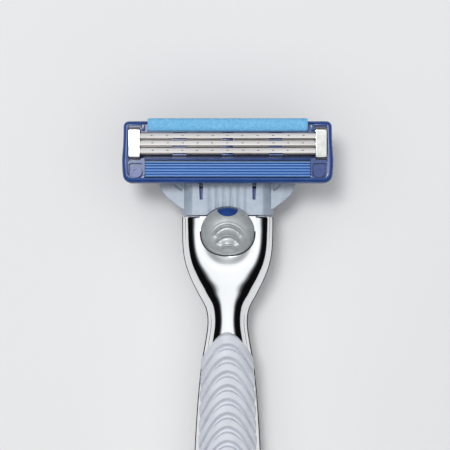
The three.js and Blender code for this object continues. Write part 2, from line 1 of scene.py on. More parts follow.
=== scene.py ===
import math
import bmesh
import bpy
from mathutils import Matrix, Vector


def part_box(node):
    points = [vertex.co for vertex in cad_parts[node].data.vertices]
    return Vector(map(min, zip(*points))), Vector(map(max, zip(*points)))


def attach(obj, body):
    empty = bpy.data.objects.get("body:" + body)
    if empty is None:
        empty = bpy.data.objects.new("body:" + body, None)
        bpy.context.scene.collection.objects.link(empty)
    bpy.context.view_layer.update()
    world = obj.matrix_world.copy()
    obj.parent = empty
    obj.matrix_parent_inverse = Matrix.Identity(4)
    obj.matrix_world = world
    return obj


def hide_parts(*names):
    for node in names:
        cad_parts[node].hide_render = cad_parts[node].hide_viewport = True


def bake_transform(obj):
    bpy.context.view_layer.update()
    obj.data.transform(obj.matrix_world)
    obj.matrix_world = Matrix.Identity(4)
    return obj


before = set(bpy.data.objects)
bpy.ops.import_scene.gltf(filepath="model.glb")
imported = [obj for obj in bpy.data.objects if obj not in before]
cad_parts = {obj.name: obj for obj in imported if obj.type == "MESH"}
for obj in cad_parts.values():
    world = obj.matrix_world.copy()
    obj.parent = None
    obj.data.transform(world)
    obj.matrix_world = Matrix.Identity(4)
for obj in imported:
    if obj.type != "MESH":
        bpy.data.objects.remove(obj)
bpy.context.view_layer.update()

mm = 0.001
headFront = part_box("lubricating_strip")[1].y / mm  # the head's front edge, in mm along the razor
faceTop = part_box("blade_1")[1].z / mm  # the plane that the cutting edges lie in


def fromHead(distance):
    return headFront - distance


def place(x, distance, z):
    return (x * mm, fromHead(distance) * mm, z * mm)


camera = {"lens": 120, "sensor": 36, "pictureWidth": 87.9, "aimX": -0.53, "aimFromHead": 20.85}


def makeCamera():
    data = bpy.data.cameras.new("camera")
    data.lens, data.sensor_width = camera["lens"], camera["sensor"]
    data.clip_start = 0.01
    away = camera["pictureWidth"] * camera["lens"] / camera["sensor"]
    holder = bpy.data.objects.new("camera", data)
    holder.location = place(camera["aimX"], camera["aimFromHead"], faceTop + away)
    bpy.context.scene.collection.objects.link(holder)
    bpy.context.scene.camera = holder


makeCamera()
print("camera ready")


# turns an sRGB hex value into the linear colour that shaders take
def linearColor(code):
    channels = [int(code[i:i + 2], 16) / 255 for i in (1, 3, 5)]
    return [c / 12.92 if c <= 0.04045 else ((c + 0.055) / 1.055) ** 2.4 for c in channels] + [1.0]


# adds a node, sets its properties, colour stops and input values, and links the inputs that are sockets
def addNode(tree, kind, inputs=None, stops=None, **settings):
    node = tree.nodes.new(kind)
    for key, value in settings.items():
        setattr(node, key, value)
    if stops:
        while len(node.color_ramp.elements) < len(stops):
            node.color_ramp.elements.new(0.5)
        for element, (position, code) in zip(node.color_ramp.elements, stops):
            element.position, element.color = position, linearColor(code)
    for key, value in (inputs or {}).items():
        if isinstance(value, bpy.types.NodeSocket):
            tree.links.new(value, node.inputs[key])
        else:
            node.inputs[key].default_value = value
    return node


studio = {
    "skyStops": [(0.0, "#2b2b2c"), (0.1, "#0b0b0c"), (0.5, "#0d0d0e"), (0.6, "#56585b"), (0.72, "#f3f5f7"),
                 (1.0, "#ffffff")],
    "skyStrength": 1.12,
    "backdrop": "#e6e6e7",
    "floor": ("#dededf", "#e3e3e3"),
    "floorSize": 6.0,
    "keyPower": 2.4,
    "keySize": (0.16, 0.16),
    "keyPlace": (-0.11, 0.19, 0.69),
}


# a bright dome overhead with a dark band low down, so that plated metal shows white faces with black edges
def makeSky():
    world = bpy.data.worlds.new("studio_sky")
    bpy.context.scene.world = world
    world.use_nodes = True
    tree = world.node_tree
    tree.nodes.clear()
    coordinates = addNode(tree, "ShaderNodeTexCoord")
    split = addNode(tree, "ShaderNodeSeparateXYZ", {0: coordinates.outputs["Generated"]})
    dome = addNode(tree, "ShaderNodeValToRGB", {0: split.outputs["Z"]}, stops=studio["skyStops"])
    lit = addNode(tree, "ShaderNodeBackground",
                  {"Color": dome.outputs["Color"], "Strength": studio["skyStrength"]})
    plain = addNode(tree, "ShaderNodeBackground", {"Color": linearColor(studio["backdrop"]), "Strength": 1.0})
    rays = addNode(tree, "ShaderNodeLightPath")
    mixed = addNode(tree, "ShaderNodeMixShader",
                    {0: rays.outputs["Is Camera Ray"], 1: lit.outputs[0], 2: plain.outputs[0]})
    addNode(tree, "ShaderNodeOutputWorld", {"Surface": mixed.outputs[0]})


def makeLight():
    data = bpy.data.lights.new("key_softbox", "AREA")
    data.shape = "RECTANGLE"
    data.size, data.size_y = studio["keySize"]
    data.energy = studio["keyPower"]
    lamp = bpy.data.objects.new("key_softbox", data)
    lamp.location = studio["keyPlace"]
    aim = Vector(place(0, 20, 10)) - Vector(studio["keyPlace"])
    lamp.rotation_euler = aim.to_track_quat("-Z", "Y").to_euler()
    bpy.context.scene.collection.objects.link(lamp)


def makeFloor():
    half = studio["floorSize"] / 2
    mesh = bpy.data.meshes.new("floor")
    corners = [(-half, -half, 0), (half, -half, 0), (half, half, 0), (-half, half, 0)]
    mesh.from_pydata(corners, [], [(0, 1, 2, 3)])
    floor = bpy.data.objects.new("floor", mesh)
    bpy.context.scene.collection.objects.link(floor)
    material = bpy.data.materials.new("matt_backdrop_paper")
    material.use_nodes = True
    tree = material.node_tree
    shader = tree.nodes["Principled BSDF"]
    coordinates = addNode(tree, "ShaderNodeTexCoord")
    grain = addNode(tree, "ShaderNodeTexNoise", {"Vector": coordinates.outputs["Object"], "Scale": 6.0})
    tint = addNode(tree, "ShaderNodeValToRGB", {0: grain.outputs["Fac"]},
                   stops=[(0.3, studio["floor"][0]), (0.7, studio["floor"][1])])
    tree.links.new(tint.outputs["Color"], shader.inputs["Base Color"])
    shader.inputs["Roughness"].default_value = 0.85
    shader.inputs["Specular IOR Level"].default_value = 0.15
    mesh.materials.append(material)


makeSky()
makeLight()
makeFloor()
bpy.context.scene.view_settings.view_transform = "Standard"
print("studio ready")


def perMm(size):
    return 1000.0 / size  # texture scale for a pattern whose features are this many mm across


def newFinish(name, **values):
    material = bpy.data.materials.new(name)
    material.use_nodes = True
    shader = material.node_tree.nodes["Principled BSDF"]
    for key, value in values.items():
        shader.inputs[key.replace("_", " ")].default_value = value
    return material, material.node_tree, shader


# colour drift, roughness drift and a fine surface bump, which most moulded and rolled surfaces share
def textureSurface(tree, shader, colors, patch, rough, grain, depth, stretch=(1, 1, 1)):
    coordinates = addNode(tree, "ShaderNodeTexCoord")
    mapped = addNode(tree, "ShaderNodeMapping", {"Vector": coordinates.outputs["Object"], "Scale": stretch})
    drift = addNode(tree, "ShaderNodeTexNoise",
                    {"Vector": mapped.outputs[0], "Scale": perMm(patch), "Detail": 4.0})
    tint = addNode(tree, "ShaderNodeValToRGB", {0: drift.outputs["Fac"]},
                   stops=[(0.35, colors[0]), (0.65, colors[1])])
    polish = addNode(tree, "ShaderNodeMapRange",
                     {"Value": drift.outputs["Fac"], "To Min": rough[0], "To Max": rough[1]})
    speck = addNode(tree, "ShaderNodeTexNoise",
                    {"Vector": mapped.outputs[0], "Scale": perMm(grain), "Detail": 3.0})
    bump = addNode(tree, "ShaderNodeBump",
                   {"Height": speck.outputs["Fac"], "Distance": depth * mm, "Strength": 1.0})
    tree.links.new(tint.outputs["Color"], shader.inputs["Base Color"])
    tree.links.new(polish.outputs[0], shader.inputs["Roughness"])
    tree.links.new(bump.outputs[0], shader.inputs["Normal"])
    return tint, bump


# chrome on polished die-cast zinc: a mirror with the faintest waviness of the casting under it
def chromePlatedZinc():
    material, tree, shader = newFinish("chrome_plated_zinc", Metallic=1.0)
    textureSurface(tree, shader, ("#eef0f1", "#f8f9fa"), 14, (0.03, 0.07), 3.5, 0.004)
    return material


# unplated die-cast zinc inside the handle, dull where the plating hardly reaches, and coloured dark as
# painted shade for the lower half of the button's well
def wellShadeZinc():
    material, tree, shader = newFinish("dull_zinc_painted_shade", Metallic=1.0)
    textureSurface(tree, shader, ("#3a3b3d", "#4b4c4f"), 1.5, (0.45, 0.6), 0.2, 0.01)
    return material


# moulded thermoplastic elastomer: silky and a little dusty, so highlights spread wide
def mouldedElastomer(name, colors):
    material, tree, shader = newFinish(name, IOR=1.48)
    shader.inputs["Sheen Weight"].default_value = 0.15
    shader.inputs["Sheen Roughness"].default_value = 0.4
    textureSurface(tree, shader, colors, 2.5, (0.36, 0.48), 0.09, 0.006)
    return material


# the guard's elastomer, coloured by height: deep blue painted shade in its roots, paler painted light at the
# thin tips
def shadedFinElastomer():
    material, tree, shader = newFinish("guard_elastomer_painted_shade", IOR=1.48)
    coordinates = addNode(tree, "ShaderNodeTexCoord")
    split = addNode(tree, "ShaderNodeSeparateXYZ", {0: coordinates.outputs["Object"]})
    roots, tips = guardHeights
    # the fins' height sets the painted shade at the roots and the painted light at the tips
    height = addNode(tree, "ShaderNodeMapRange",
                     {"Value": split.outputs["Z"], "From Min": roots * mm, "From Max": tips * mm})
    mottle = addNode(tree, "ShaderNodeTexNoise",
                     {"Vector": coordinates.outputs["Object"], "Scale": perMm(0.8)})
    mixed = addNode(tree, "ShaderNodeMath", {0: mottle.outputs["Fac"], 1: 0.16, 2: height.outputs[0]},
                    operation="MULTIPLY_ADD")
    tint = addNode(tree, "ShaderNodeValToRGB", {0: mixed.outputs[0]},
                   stops=[(0.05, "#2c62ad"), (0.6, "#427dc4"), (1.0, "#8db6e5")])
    tree.links.new(tint.outputs["Color"], shader.inputs["Base Color"])
    shader.inputs["Roughness"].default_value = 0.34
    return material


# moulded ABS with a fine spark-eroded texture: an even satin with soft highlights
def satinAbs(name, colors, rough=(0.34, 0.44)):
    material, tree, shader = newFinish(name, IOR=1.53)
    textureSurface(tree, shader, colors, 1.6, rough, 0.07, 0.005)
    return material


# metal-flake lacquer over ABS: it glitters faintly and darkens quickly where the surface turns away
def flakeLacquer():
    material, tree, shader = newFinish("metal_flake_lacquer", Metallic=0.3, IOR=1.5)
    textureSurface(tree, shader, ("#a8adaf", "#b5babb"), 1.1, (0.36, 0.44), 0.1, 0.008)
    return material


# polished moulded ABS: deep colour under a clear gloss, with slight sink marks
def glossAbs(name, colors):
    material, tree, shader = newFinish(name, IOR=1.5)
    textureSurface(tree, shader, colors, 2.2, (0.2, 0.3), 0.8, 0.006)
    return material


# pressed water-soluble polymer: chalky pores and pale mottling
def pressedPolymer():
    material, tree, shader = newFinish("pressed_polymer", IOR=1.45)
    coordinates = addNode(tree, "ShaderNodeTexCoord")
    blotch = addNode(tree, "ShaderNodeTexNoise",
                     {"Vector": coordinates.outputs["Object"], "Scale": perMm(0.4), "Detail": 6.0,
                      "Roughness": 0.6})
    tint = addNode(tree, "ShaderNodeValToRGB", {0: blotch.outputs["Fac"]},
                   stops=[(0.3, "#569fd0"), (0.5, "#69afda"), (0.72, "#83c1e5")])
    pores = addNode(tree, "ShaderNodeTexVoronoi",
                    {"Vector": coordinates.outputs["Object"], "Scale": perMm(0.16)})
    mixed = addNode(tree, "ShaderNodeMath", {0: blotch.outputs["Fac"], 1: pores.outputs["Distance"]},
                    operation="ADD")
    bump = addNode(tree, "ShaderNodeBump",
                   {"Height": mixed.outputs[0], "Distance": 0.03 * mm, "Strength": 1.0})
    tree.links.new(tint.outputs["Color"], shader.inputs["Base Color"])
    tree.links.new(bump.outputs[0], shader.inputs["Normal"])
    shader.inputs["Roughness"].default_value = 0.62
    return material


# hardened stainless strip, ground lengthways: a pale satin with fine lines along it
def groundSteel(name, colors, rough=(0.22, 0.34)):
    material, tree, shader = newFinish(name, Metallic=1.0)
    textureSurface(tree, shader, colors, 1.2, rough, 0.05, 0.0015, stretch=(0.06, 1, 1))
    return material


# cold-rolled sheet, bright on the flats
def rolledSheet():
    material, tree, shader = newFinish("bright_rolled_sheet", Metallic=1.0)
    textureSurface(tree, shader, ("#cbccca", "#d9dad8"), 1.5, (0.1, 0.14), 0.12, 0.003)
    return material


# steel tinted by the heat of a spot weld
def weldTint():
    material, tree, shader = newFinish("heat_tinted_steel", Metallic=1.0)
    textureSurface(tree, shader, ("#6d675f", "#a39c94"), 0.12, (0.35, 0.5), 0.05, 0.002)
    return material


guardHeights = (18.15, 18.8)  # the fins' roots and tips

finishes = {
    "chrome": chromePlatedZinc(),
    "grip": mouldedElastomer("moulded_grip_elastomer", ("#c3c7cf", "#cdd0d8")),
    "fins": shadedFinElastomer(),
    "yoke": satinAbs("satin_connector_abs", ("#95a2b1", "#a3aebb")),
    "button": flakeLacquer(),
    # painted shade: the dark zinc for the lower half of the button's well
    "inside": wellShadeZinc(),
    "inlay": glossAbs("gloss_inlay_abs", ("#1f3a78", "#264486")),
    "housing": glossAbs("gloss_housing_abs", ("#173c7e", "#1e4689")),
    "nose": satinAbs("satin_nose_acetal", ("#2a3f94", "#3249a0")),
    "strip": pressedPolymer(),
    "blade": groundSteel("ground_blade_steel", ("#e2dedd", "#f0edeb")),
    # the supports' steel is coloured dark as painted shade in the gaps between the blades
    "support": groundSteel("support_steel_painted_shade", ("#5f5b57", "#78746f")),
    "spring": groundSteel("drawn_spring_steel", ("#8f9093", "#b4b5b8")),
    "clip": rolledSheet(),
    "weld": weldTint(),
}
print("finishes ready:", len(finishes))


clearTop = 20  # a height in mm above everything, where cuts that are open at the front stop
rodSides = 32


def newObject(name, points, faces):
    mesh = bpy.data.meshes.new(name)
    mesh.from_pydata([(x * mm, y * mm, z * mm) for x, y, z in points], [], faces)
    shape = bpy.data.objects.new(name, mesh)
    bpy.context.scene.collection.objects.link(shape)
    turnOutwards(mesh)
    return shape


def turnOutwards(mesh):
    work = bmesh.new()
    work.from_mesh(mesh)
    bmesh.ops.recalc_face_normals(work, faces=work.faces)
    work.to_mesh(mesh)
    work.free()


# a stack of closed rings of points, capped at both ends
def ringSolid(name, rings):
    count = len(rings[0])
    points = [point for ring in rings for point in ring]
    faces = [tuple(range(count))[::-1]]
    for i in range(len(rings) - 1):
        for j in range(count):
            k = (j + 1) % count
            faces.append((i * count + j, i * count + k, (i + 1) * count + k, (i + 1) * count + j))
    faces.append(tuple(range((len(rings) - 1) * count, len(rings) * count)))
    return newObject(name, points, faces)


def plate(outline, low, high):
    return ringSolid("plate", [[(x, fromHead(at), z) for x, at in outline] for z in (low, high)])


def bar(profile, left, right, name="bar"):
    return ringSolid(name, [[(x, y, z) for y, z in profile] for x in (left, right)])


def block(xs, ats, zs):
    return plate([(xs[0], ats[0]), (xs[1], ats[0]), (xs[1], ats[1]), (xs[0], ats[1])], *zs)


def circle(radius, sides, start=0.0):
    return [(radius * math.cos(start + math.tau * i / sides), radius * math.sin(start + math.tau * i / sides))
            for i in range(sides)]


def rodAcross(left, right, at, z, radius):
    return bar([(fromHead(at) + a, z + b) for a, b in circle(radius, rodSides)], left, right)


def rodAlong(start, end, z, radius):
    ends = [[(a, fromHead(at), z + b) for a, b in circle(radius, rodSides)] for at in (start, end)]
    return ringSolid("rod", ends)


def ellipse(x, at, halfWidth, halfLength, sides):
    return [(x + halfWidth * a, at + halfLength * b) for a, b in circle(1, sides)]


def roundedOutline(left, right, top, bottom, radii, steps=6):
    corners = [(right, top, -90, radii[0]), (right, bottom, 0, radii[1]),
               (left, bottom, 90, radii[1]), (left, top, 180, radii[0])]
    points = []
    for x, at, start, radius in corners:
        middleX = x - radius if x == right else x + radius
        middleAt = at + radius if at == top else at - radius
        for i in range(steps + 1):
            angle = math.radians(start + 90 * i / steps)
            points.append((middleX + radius * math.cos(angle), middleAt + radius * math.sin(angle)))
    return points


def sideRange(side, inner, outer):
    return (inner, outer) if side > 0 else (-outer, -inner)


# joins or cuts a shape with several tools in one go and throws the tools away
def combine(shape, tools, operation="DIFFERENCE"):
    for tool in tools:
        modifier = shape.modifiers.new("join", "BOOLEAN")
        modifier.object, modifier.operation, modifier.solver = tool, operation, "EXACT"
    settle(shape)
    for tool in tools:
        mesh = tool.data
        bpy.data.objects.remove(tool)
        bpy.data.meshes.remove(mesh)
    return shape


# applies a shape's modifiers to its mesh
def settle(shape):
    bpy.context.view_layer.update()
    solved = bpy.data.meshes.new_from_object(shape.evaluated_get(bpy.context.evaluated_depsgraph_get()))
    old = shape.data
    shape.modifiers.clear()
    shape.data = solved
    bpy.data.meshes.remove(old)


# merges what a boolean leaves split on a flat, so that edges take an even rounding
def cleanFlats(shape):
    work = bmesh.new()
    work.from_mesh(shape.data)
    bmesh.ops.remove_doubles(work, verts=work.verts, dist=0.002 * mm)
    bmesh.ops.dissolve_limit(work, angle_limit=math.radians(1), verts=work.verts, edges=work.edges)
    work.to_mesh(shape.data)
    work.free()


def soften(shape, width, segments=2):
    cleanFlats(shape)
    bevel = shape.modifiers.new("edges", "BEVEL")
    bevel.width, bevel.segments = width * mm, segments
    bevel.limit_method, bevel.angle_limit = "ANGLE", math.radians(28)
    bevel.use_clamp_overlap = True
    settle(shape)


def smoothShade(shape, sharp=32):
    mesh = shape.data
    mesh.polygons.foreach_set("use_smooth", [True] * len(mesh.polygons))
    mesh.set_sharp_from_angle(angle=math.radians(sharp))


# gives a finished shape its name, material, body and the CAD nodes that it stands for
def hand(shape, name, finish, body, nodes=(), weighted=True, sharp=32):
    shape.name = name
    shape.data.name = name
    if not shape.data.materials:
        shape.data.materials.append(finishes[finish])
    smoothShade(shape, sharp)
    if weighted:
        shape.modifiers.new("flats", "WEIGHTED_NORMAL").keep_sharp = True
    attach(shape, body)
    if nodes:
        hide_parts(*nodes)
    return shape


def smoothStep(low, high, value):
    t = min(max((value - low) / (high - low), 0.0), 1.0)
    return t * t * (3 - 2 * t)


# a smooth curve through rows whose first column is the distance from the head
def tableAt(table, column, at):
    last = len(table) - 1
    i = next((k for k in range(last) if at < table[k + 1][0]), last - 1)

    def slope(k):
        before, after = table[max(k - 1, 0)], table[min(k + 1, last)]
        return (after[column] - before[column]) / (after[0] - before[0])

    a, b = table[i], table[i + 1]
    length = b[0] - a[0]
    t = (at - a[0]) / length
    return ((2 * t**3 - 3 * t**2 + 1) * a[column] + (t**3 - 2 * t**2 + t) * length * slope(i)
            + (3 * t**2 - 2 * t**3) * b[column] + (t**3 - t**2) * length * slope(i + 1))


handle = {
    # distance from the head, half width, height of the back and of the front, squareness of the section
    "stations": [
        (19.1, 9.15, 4.6, 15.4, 3.3), (22, 9.14, 4.2, 15.9, 3.3), (25.7, 9.0, 4, 15.9, 3.2),
        (28.7, 8.5, 4, 15.5, 3.0), (31.7, 7.42, 4.1, 14.7, 2.7), (34.7, 5.95, 4.3, 13.7, 2.3),
        (37.7, 4.42, 4.4, 12.9, 1.9), (40.7, 4.06, 4.3, 12.5, 1.75), (44.4, 4.53, 3.7, 12.4, 1.9),
        (47, 5.0, 3.1, 12.5, 2.1), (50, 5.45, 2.4, 12.6, 2.3), (58, 6.2, 1, 13, 2.4),
        (68, 6.75, 0.4, 13.3, 2.4), (80, 6.85, 0.4, 13.3, 2.4), (95, 6.5, 0.4, 12.9, 2.4),
        (110, 5.95, 0.4, 12.1, 2.4), (125, 5.3, 0.7, 11.1, 2.35), (136, 4.75, 1.4, 10.1, 2.3),
        (145, 4.3, 2.2, 9.3, 2.3),
    ],
    "start": 19.1, "end": 145, "tailRound": 5, "collarRound": 0.35, "rings": 300,
    "scoopAt": 24, "scoopHalfWidth": 6.0, "scoopHalfLength": 5.7, "scoopDepth": 2.45,
    "seamInset": 0.62, "seamWidth": 0.07, "seamDepth": 0.07, "lip": 0.16,
    "wellFloor": 13.2, "wellGap": 0.2, "shadeFrom": 23.6, "cavity": ((-6.3, 6.3), (18, 28.3), (5.9, 11.8)),
    "stemSlot": ((-2.4, 2.4), (20.9, 26.4), (10.8, 14)), "gripFit": 0.05,
}
button = {
    "at": 22.1, "halfWidth": 5.33, "halfLength": 4.78, "low": 13.5, "side": 14.3, "high": 16.9,
    "rings": 90, "sides": 180, "squareness": 2.35, "domePowers": (2.3, 0.62), "skirt": 0.25,
    "stemSocket": ((-2.18, 2.18), (24.32, 26.08), (10, 14.28)),
}


# the button seen from the front: a circle above, a little squarer below
def buttonOutline(gap=0.0, sides=180, share=1.0):
    points = []
    for a, b in circle(1, sides):
        power = button["squareness"] if b > 0 else 2.0
        x = math.copysign(abs(a) ** (2 / power), a) * (button["halfWidth"] + gap) * share
        at = button["at"] + math.copysign(abs(b) ** (2 / power), b) * (button["halfLength"] + gap) * share
        points.append((x, at))
    return points


# the handle's section at a distance from the head: half width, middle height, half height and squareness
def section(at):
    rows = handle["stations"]
    intoTail = max(0.0, (at - (handle["end"] - handle["tailRound"])) / handle["tailRound"])
    shrink = math.sqrt(max(1 - intoTail**2, 0.0025))
    halfWidth, back, front, power = (tableAt(rows, column, at) for column in (1, 2, 3, 4))
    return halfWidth * shrink, (front + back) / 2, (front - back) / 2 * shrink, power


# the dish pressed into the collar below the button
def scoopDepth(x, at):
    reach = math.hypot(x / handle["scoopHalfWidth"], (at - handle["scoopAt"]) / handle["scoopHalfLength"])
    return handle["scoopDepth"] * max(1 - reach**2, 0) ** 1.3


# how far in from the silhouette the points of a section lie, closest together where the casting's seam runs
sectionInsets = [0, 0.015, 0.04, 0.07, 0.1, 0.13, 0.16, 0.2, 0.26, 0.33, 0.41, 0.47, 0.51, 0.55, 0.59,
                 0.63, 0.67, 0.71, 0.76, 0.84, 0.97]


# one point of the front half: the skin, the seam pressed into it and the thin lip outside it
def frontPoint(at, inset, side, grow):
    halfWidth, middle, halfHeight, power = section(at)
    narrow = halfWidth - handle["lip"] * min(halfWidth / 4, 1)
    share = max(1 - inset / narrow, 0)
    rise = (1 - share**power) ** (1 / power)
    nx, nz = share ** (power - 1) / narrow, rise ** (power - 1) / halfHeight
    length = math.hypot(nx, nz)
    out = grow - handle["seamDepth"] * math.exp(-(((inset - handle["seamInset"]) / handle["seamWidth"]) ** 2))
    x = side * (narrow * share + out * nx / length)
    return (x, fromHead(at), middle + 0.12 + halfHeight * rise + out * nz / length - scoopDepth(x, at))


def backPoint(at, angle, grow):
    halfWidth, middle, halfHeight, power = section(at)
    c, s = math.cos(angle), math.sin(angle)
    x = (halfWidth + grow) * math.copysign(abs(c) ** (2 / power), c)
    return (x, fromHead(at), middle + (halfHeight + grow) * math.copysign(abs(s) ** (2 / power), s))


def sectionRing(at, grow):
    halfWidth = section(at)[0]
    size = min(halfWidth / 3, 1)
    insets = [inset * size for inset in sectionInsets]
    reach = halfWidth - handle["lip"] * min(halfWidth / 4, 1) - insets[-1]
    insets += [insets[-1] + reach * k / 30 for k in range(1, 31)]
    right = [frontPoint(at, inset, 1, grow) for inset in insets]
    left = [frontPoint(at, inset, -1, grow) for inset in insets[-2::-1]]
    back = [backPoint(at, -math.pi + math.pi * k / 40, grow) for k in range(41)]
    return right + left + back


def handleRings():
    count = handle["rings"]
    stops = []
    for i in range(count + 1):
        share = i / count
        stops.append(handle["start"] + (handle["end"] - handle["start"])
                     * (0.8 * share + 0.2 * math.sin(share * math.pi / 2)))
    rounding = handle["collarRound"]
    edge = [(handle["start"] + rounding * (1 - math.cos(a)), rounding * (math.sin(a) - 1))
            for a in [math.radians(15 * k) for k in range(6)]]
    rows = edge + [(at, 0.0) for at in stops if at > handle["start"] + rounding]
    return [sectionRing(at, grow) for at, grow in rows]


# height of the skin above a point across the razor, pushed out along the skin's own slope
def skinOver(x, at, grow, front):
    halfWidth, middle, halfHeight, power = section(at)
    share = min(abs(x) / halfWidth, 0.97)
    rise = (1 - share**power) ** (1 / power)
    nx, nz = share ** (power - 1) / halfWidth, rise ** (power - 1) / halfHeight
    scale = grow / math.hypot(nx, nz)
    outX = x + math.copysign(1, x) * nx * scale
    up = halfHeight * rise + nz * scale
    return outX, middle + (up if front else -up)


# each grip's outline is its half width at distances from the head; its scales cross it in arcs
frontGrip = {
    "start": 42.3, "end": 128, "arc": 0.25,
    "sides": [(42, 4.0), (45, 4.1), (46.4, 4.3), (48.6, 4.8), (52, 5.1), (58, 5.35), (75, 5.8), (95, 5.5),
              (112, 4.95), (119, 4.35), (124, 3.3), (127, 1.7), (128, 0.1)],
    "firstCrest": 45.35, "pitch": 2.75, "crests": 28, "relief": 0.95, "base": 0.06, "depth": 1.55,
    "rowStep": 0.11, "columns": 44,
}
backGrip = {
    "start": 56, "end": 122.5, "arc": 0.16,
    "sides": [(55, 4.1), (61, 4.35), (68, 5), (85, 5.4), (105, 4.9), (114, 4.2), (119, 3), (121.6, 1.4),
              (122.5, 0.1)],
    "firstCrest": 61, "pitch": 5.5, "crests": 10, "relief": 0.3, "base": 0.42, "depth": 1.35, "rowStep": 0.2,
    "columns": 40,
}


# how far to the side a grip reaches on the arc that crosses the middle at this distance
def reachOnArc(grip, at, margin=0.0):
    low, high = 0.0, 8.0
    for _ in range(22):
        middle = (low + high) / 2
        inside = middle <= tableAt(grip["sides"], 1, min(at + grip["arc"] * middle**2, grip["end"])) + margin
        inside = inside and at + grip["arc"] * middle**2 <= grip["end"] + margin
        low, high = (middle, high) if inside else (low, middle)
    return max(low, 0.12)


gripScale = {"rise": 0.14, "fall": (0.56, 0.92), "firstFall": (0.62, 0.97)}  # as shares of the pitch


# overlapping scales: a quick rise at each crest, a flat top, then a slope down to the next one
def gripRelief(grip, at):
    phase = (at - grip["firstCrest"]) / grip["pitch"]
    index, part = math.floor(phase), phase - math.floor(phase)
    if index < -1 or index >= grip["crests"]:
        return 1.0
    if index == -1:
        return 1 - smoothStep(*gripScale["firstFall"], part)
    return smoothStep(0.0, gripScale["rise"], part) * (1 - smoothStep(*gripScale["fall"], part))


# a grip's closed shell; with top given it is the tool that cuts the grip's bed, which stands that far out
def gripShell(grip, front, margin=0.0, top=None):
    start, end = grip["start"] - margin, grip["end"] + margin
    rows = 70 if top else round((end - start) / grip["rowStep"])
    columns = 14 if top else grip["columns"]
    upper, lower = [], []
    for i in range(rows + 1):
        at = start + (end - start) * i / rows
        reach = reachOnArc(grip, at, margin)
        for j in range(columns + 1):
            x = reach * (2 * j / columns - 1)
            point = at + grip["arc"] * x**2
            edge = smoothStep(0.0, 0.5, reach - abs(x)) * smoothStep(0.0, 0.6, at - grip["start"])
            grow = top if top else grip["base"] + grip["relief"] * gripRelief(grip, at) * edge
            outX, z = skinOver(x, point, grow, front)
            upper.append((outX, fromHead(point), z if front else max(z, 0.0) - (margin if top else 0)))
            inX, z = skinOver(x, point, -grip["depth"] - margin, front)
            lower.append((inX, fromHead(point), z))
    count = columns + 1
    size = len(upper)
    faces = []
    for i in range(rows):
        for j in range(columns):
            a = i * count + j
            faces.append((a, a + 1, a + count + 1, a + count))
            faces.append((size + a, size + a + count, size + a + count + 1, size + a + 1))
    rim = ([j for j in range(columns)] + [i * count + columns for i in range(rows)]
           + [rows * count + j for j in range(columns, 0, -1)] + [i * count for i in range(rows, 0, -1)])
    for a, b in zip(rim, rim[1:] + rim[:1]):
        faces.append((a, size + a, size + b, b))
    return newObject("grip", upper + lower, faces)


def makeHandle():
    casting = ringSolid("handle", handleRings())
    well = buttonOutline(handle["wellGap"], 120)
    side = button["halfWidth"] + handle["wellGap"]
    combine(casting, [
        plate(well, handle["wellFloor"], clearTop),
        block((-side, side), (18, button["at"]), (handle["wellFloor"], clearTop)),
        block(*handle["cavity"]),
        block(*handle["stemSlot"]),
        gripShell(frontGrip, True, handle["gripFit"], top=1.5),
        gripShell(backGrip, False, handle["gripFit"], top=1.5),
    ])
    casting.data.materials.append(finishes["chrome"])
    casting.data.materials.append(finishes["inside"])
    length = button["halfLength"] + handle["wellGap"]
    for face in casting.data.polygons:  # painted shade: the lower half of the button's well takes the dark, dull zinc
        x, at = face.center.x / mm, headFront - face.center.y / mm
        reach = math.hypot(x / (side + 0.05), (at - button["at"]) / (length + 0.05))
        low = face.normal.z < 0.3 or face.center.z < (handle["wellFloor"] + 0.3) * mm
        if reach < 1 and at > handle["shadeFrom"] and low:
            face.material_index = 1
    hand(casting, "chrome_handle", "chrome", "handle", ["handle_casting"],
         weighted=False, sharp=38)
    pad = gripShell(frontGrip, True)
    hand(pad, "front_grip_pad", "grip", "handle", ["front_grip"], weighted=False, sharp=60)
    pad = gripShell(backGrip, False)
    hand(pad, "back_grip_pad", "grip", "handle", ["back_grip"], weighted=False, sharp=60)
    print("handle ready")


nose = {
    "inner": 2.6, "outer": 6, "low": 7.6, "high": 11.5, "tip": 13.4, "bridge": (19.1, 19.7), "root": (27, 28),
}


def makeNose():
    prongs = [block(sideRange(side, nose["inner"], nose["outer"]), (nose["tip"], nose["root"][1]),
                    (nose["low"], nose["high"])) for side in (-1, 1)]
    bridges = [block((-nose["inner"] - 0.1, nose["inner"] + 0.1), ats, (nose["low"], nose["high"]))
               for ats in (nose["bridge"], nose["root"])]
    shape = combine(prongs[0], [prongs[1]] + bridges, "UNION")
    soften(shape, 0.15, 3)
    hand(shape, "docking_nose_moulding", "nose", "handle", ["docking_nose"])
    print("docking nose ready")


ridges = [  # top of each arc, its radius, how far it reaches round in degrees, and its height
    {"at": 20.95, "radius": 3.2, "reach": 68, "step": 0.9},
    {"at": 22.85, "radius": 2.8, "reach": 64, "step": 0.78},
    {"at": 24.85, "radius": 2.2, "reach": 50, "step": 0.6},
]
inlay = {
    "halfWidth": 2.05, "top": 16.9, "shoulder": 17.7, "low": 19.12, "floor": 14.3, "gap": 0.03, "proud": 0.03,
}


# the relief across an arc, counted inwards from its outer edge in mm, and how it fades at the arc's ends
arcShape = {
    "lip": 0.45, "lipRise": (-0.32, 0.0), "lipFall": (0.05, 0.4),
    "drop": 0.7, "dropDown": (0.08, 0.5), "dropBack": (0.6, 1.9), "fade": (-24, 6),
    "outerLine": 0.55, "lineHeight": 0.09, "lineWidth": 0.17, "lineReach": (44, 62),
}


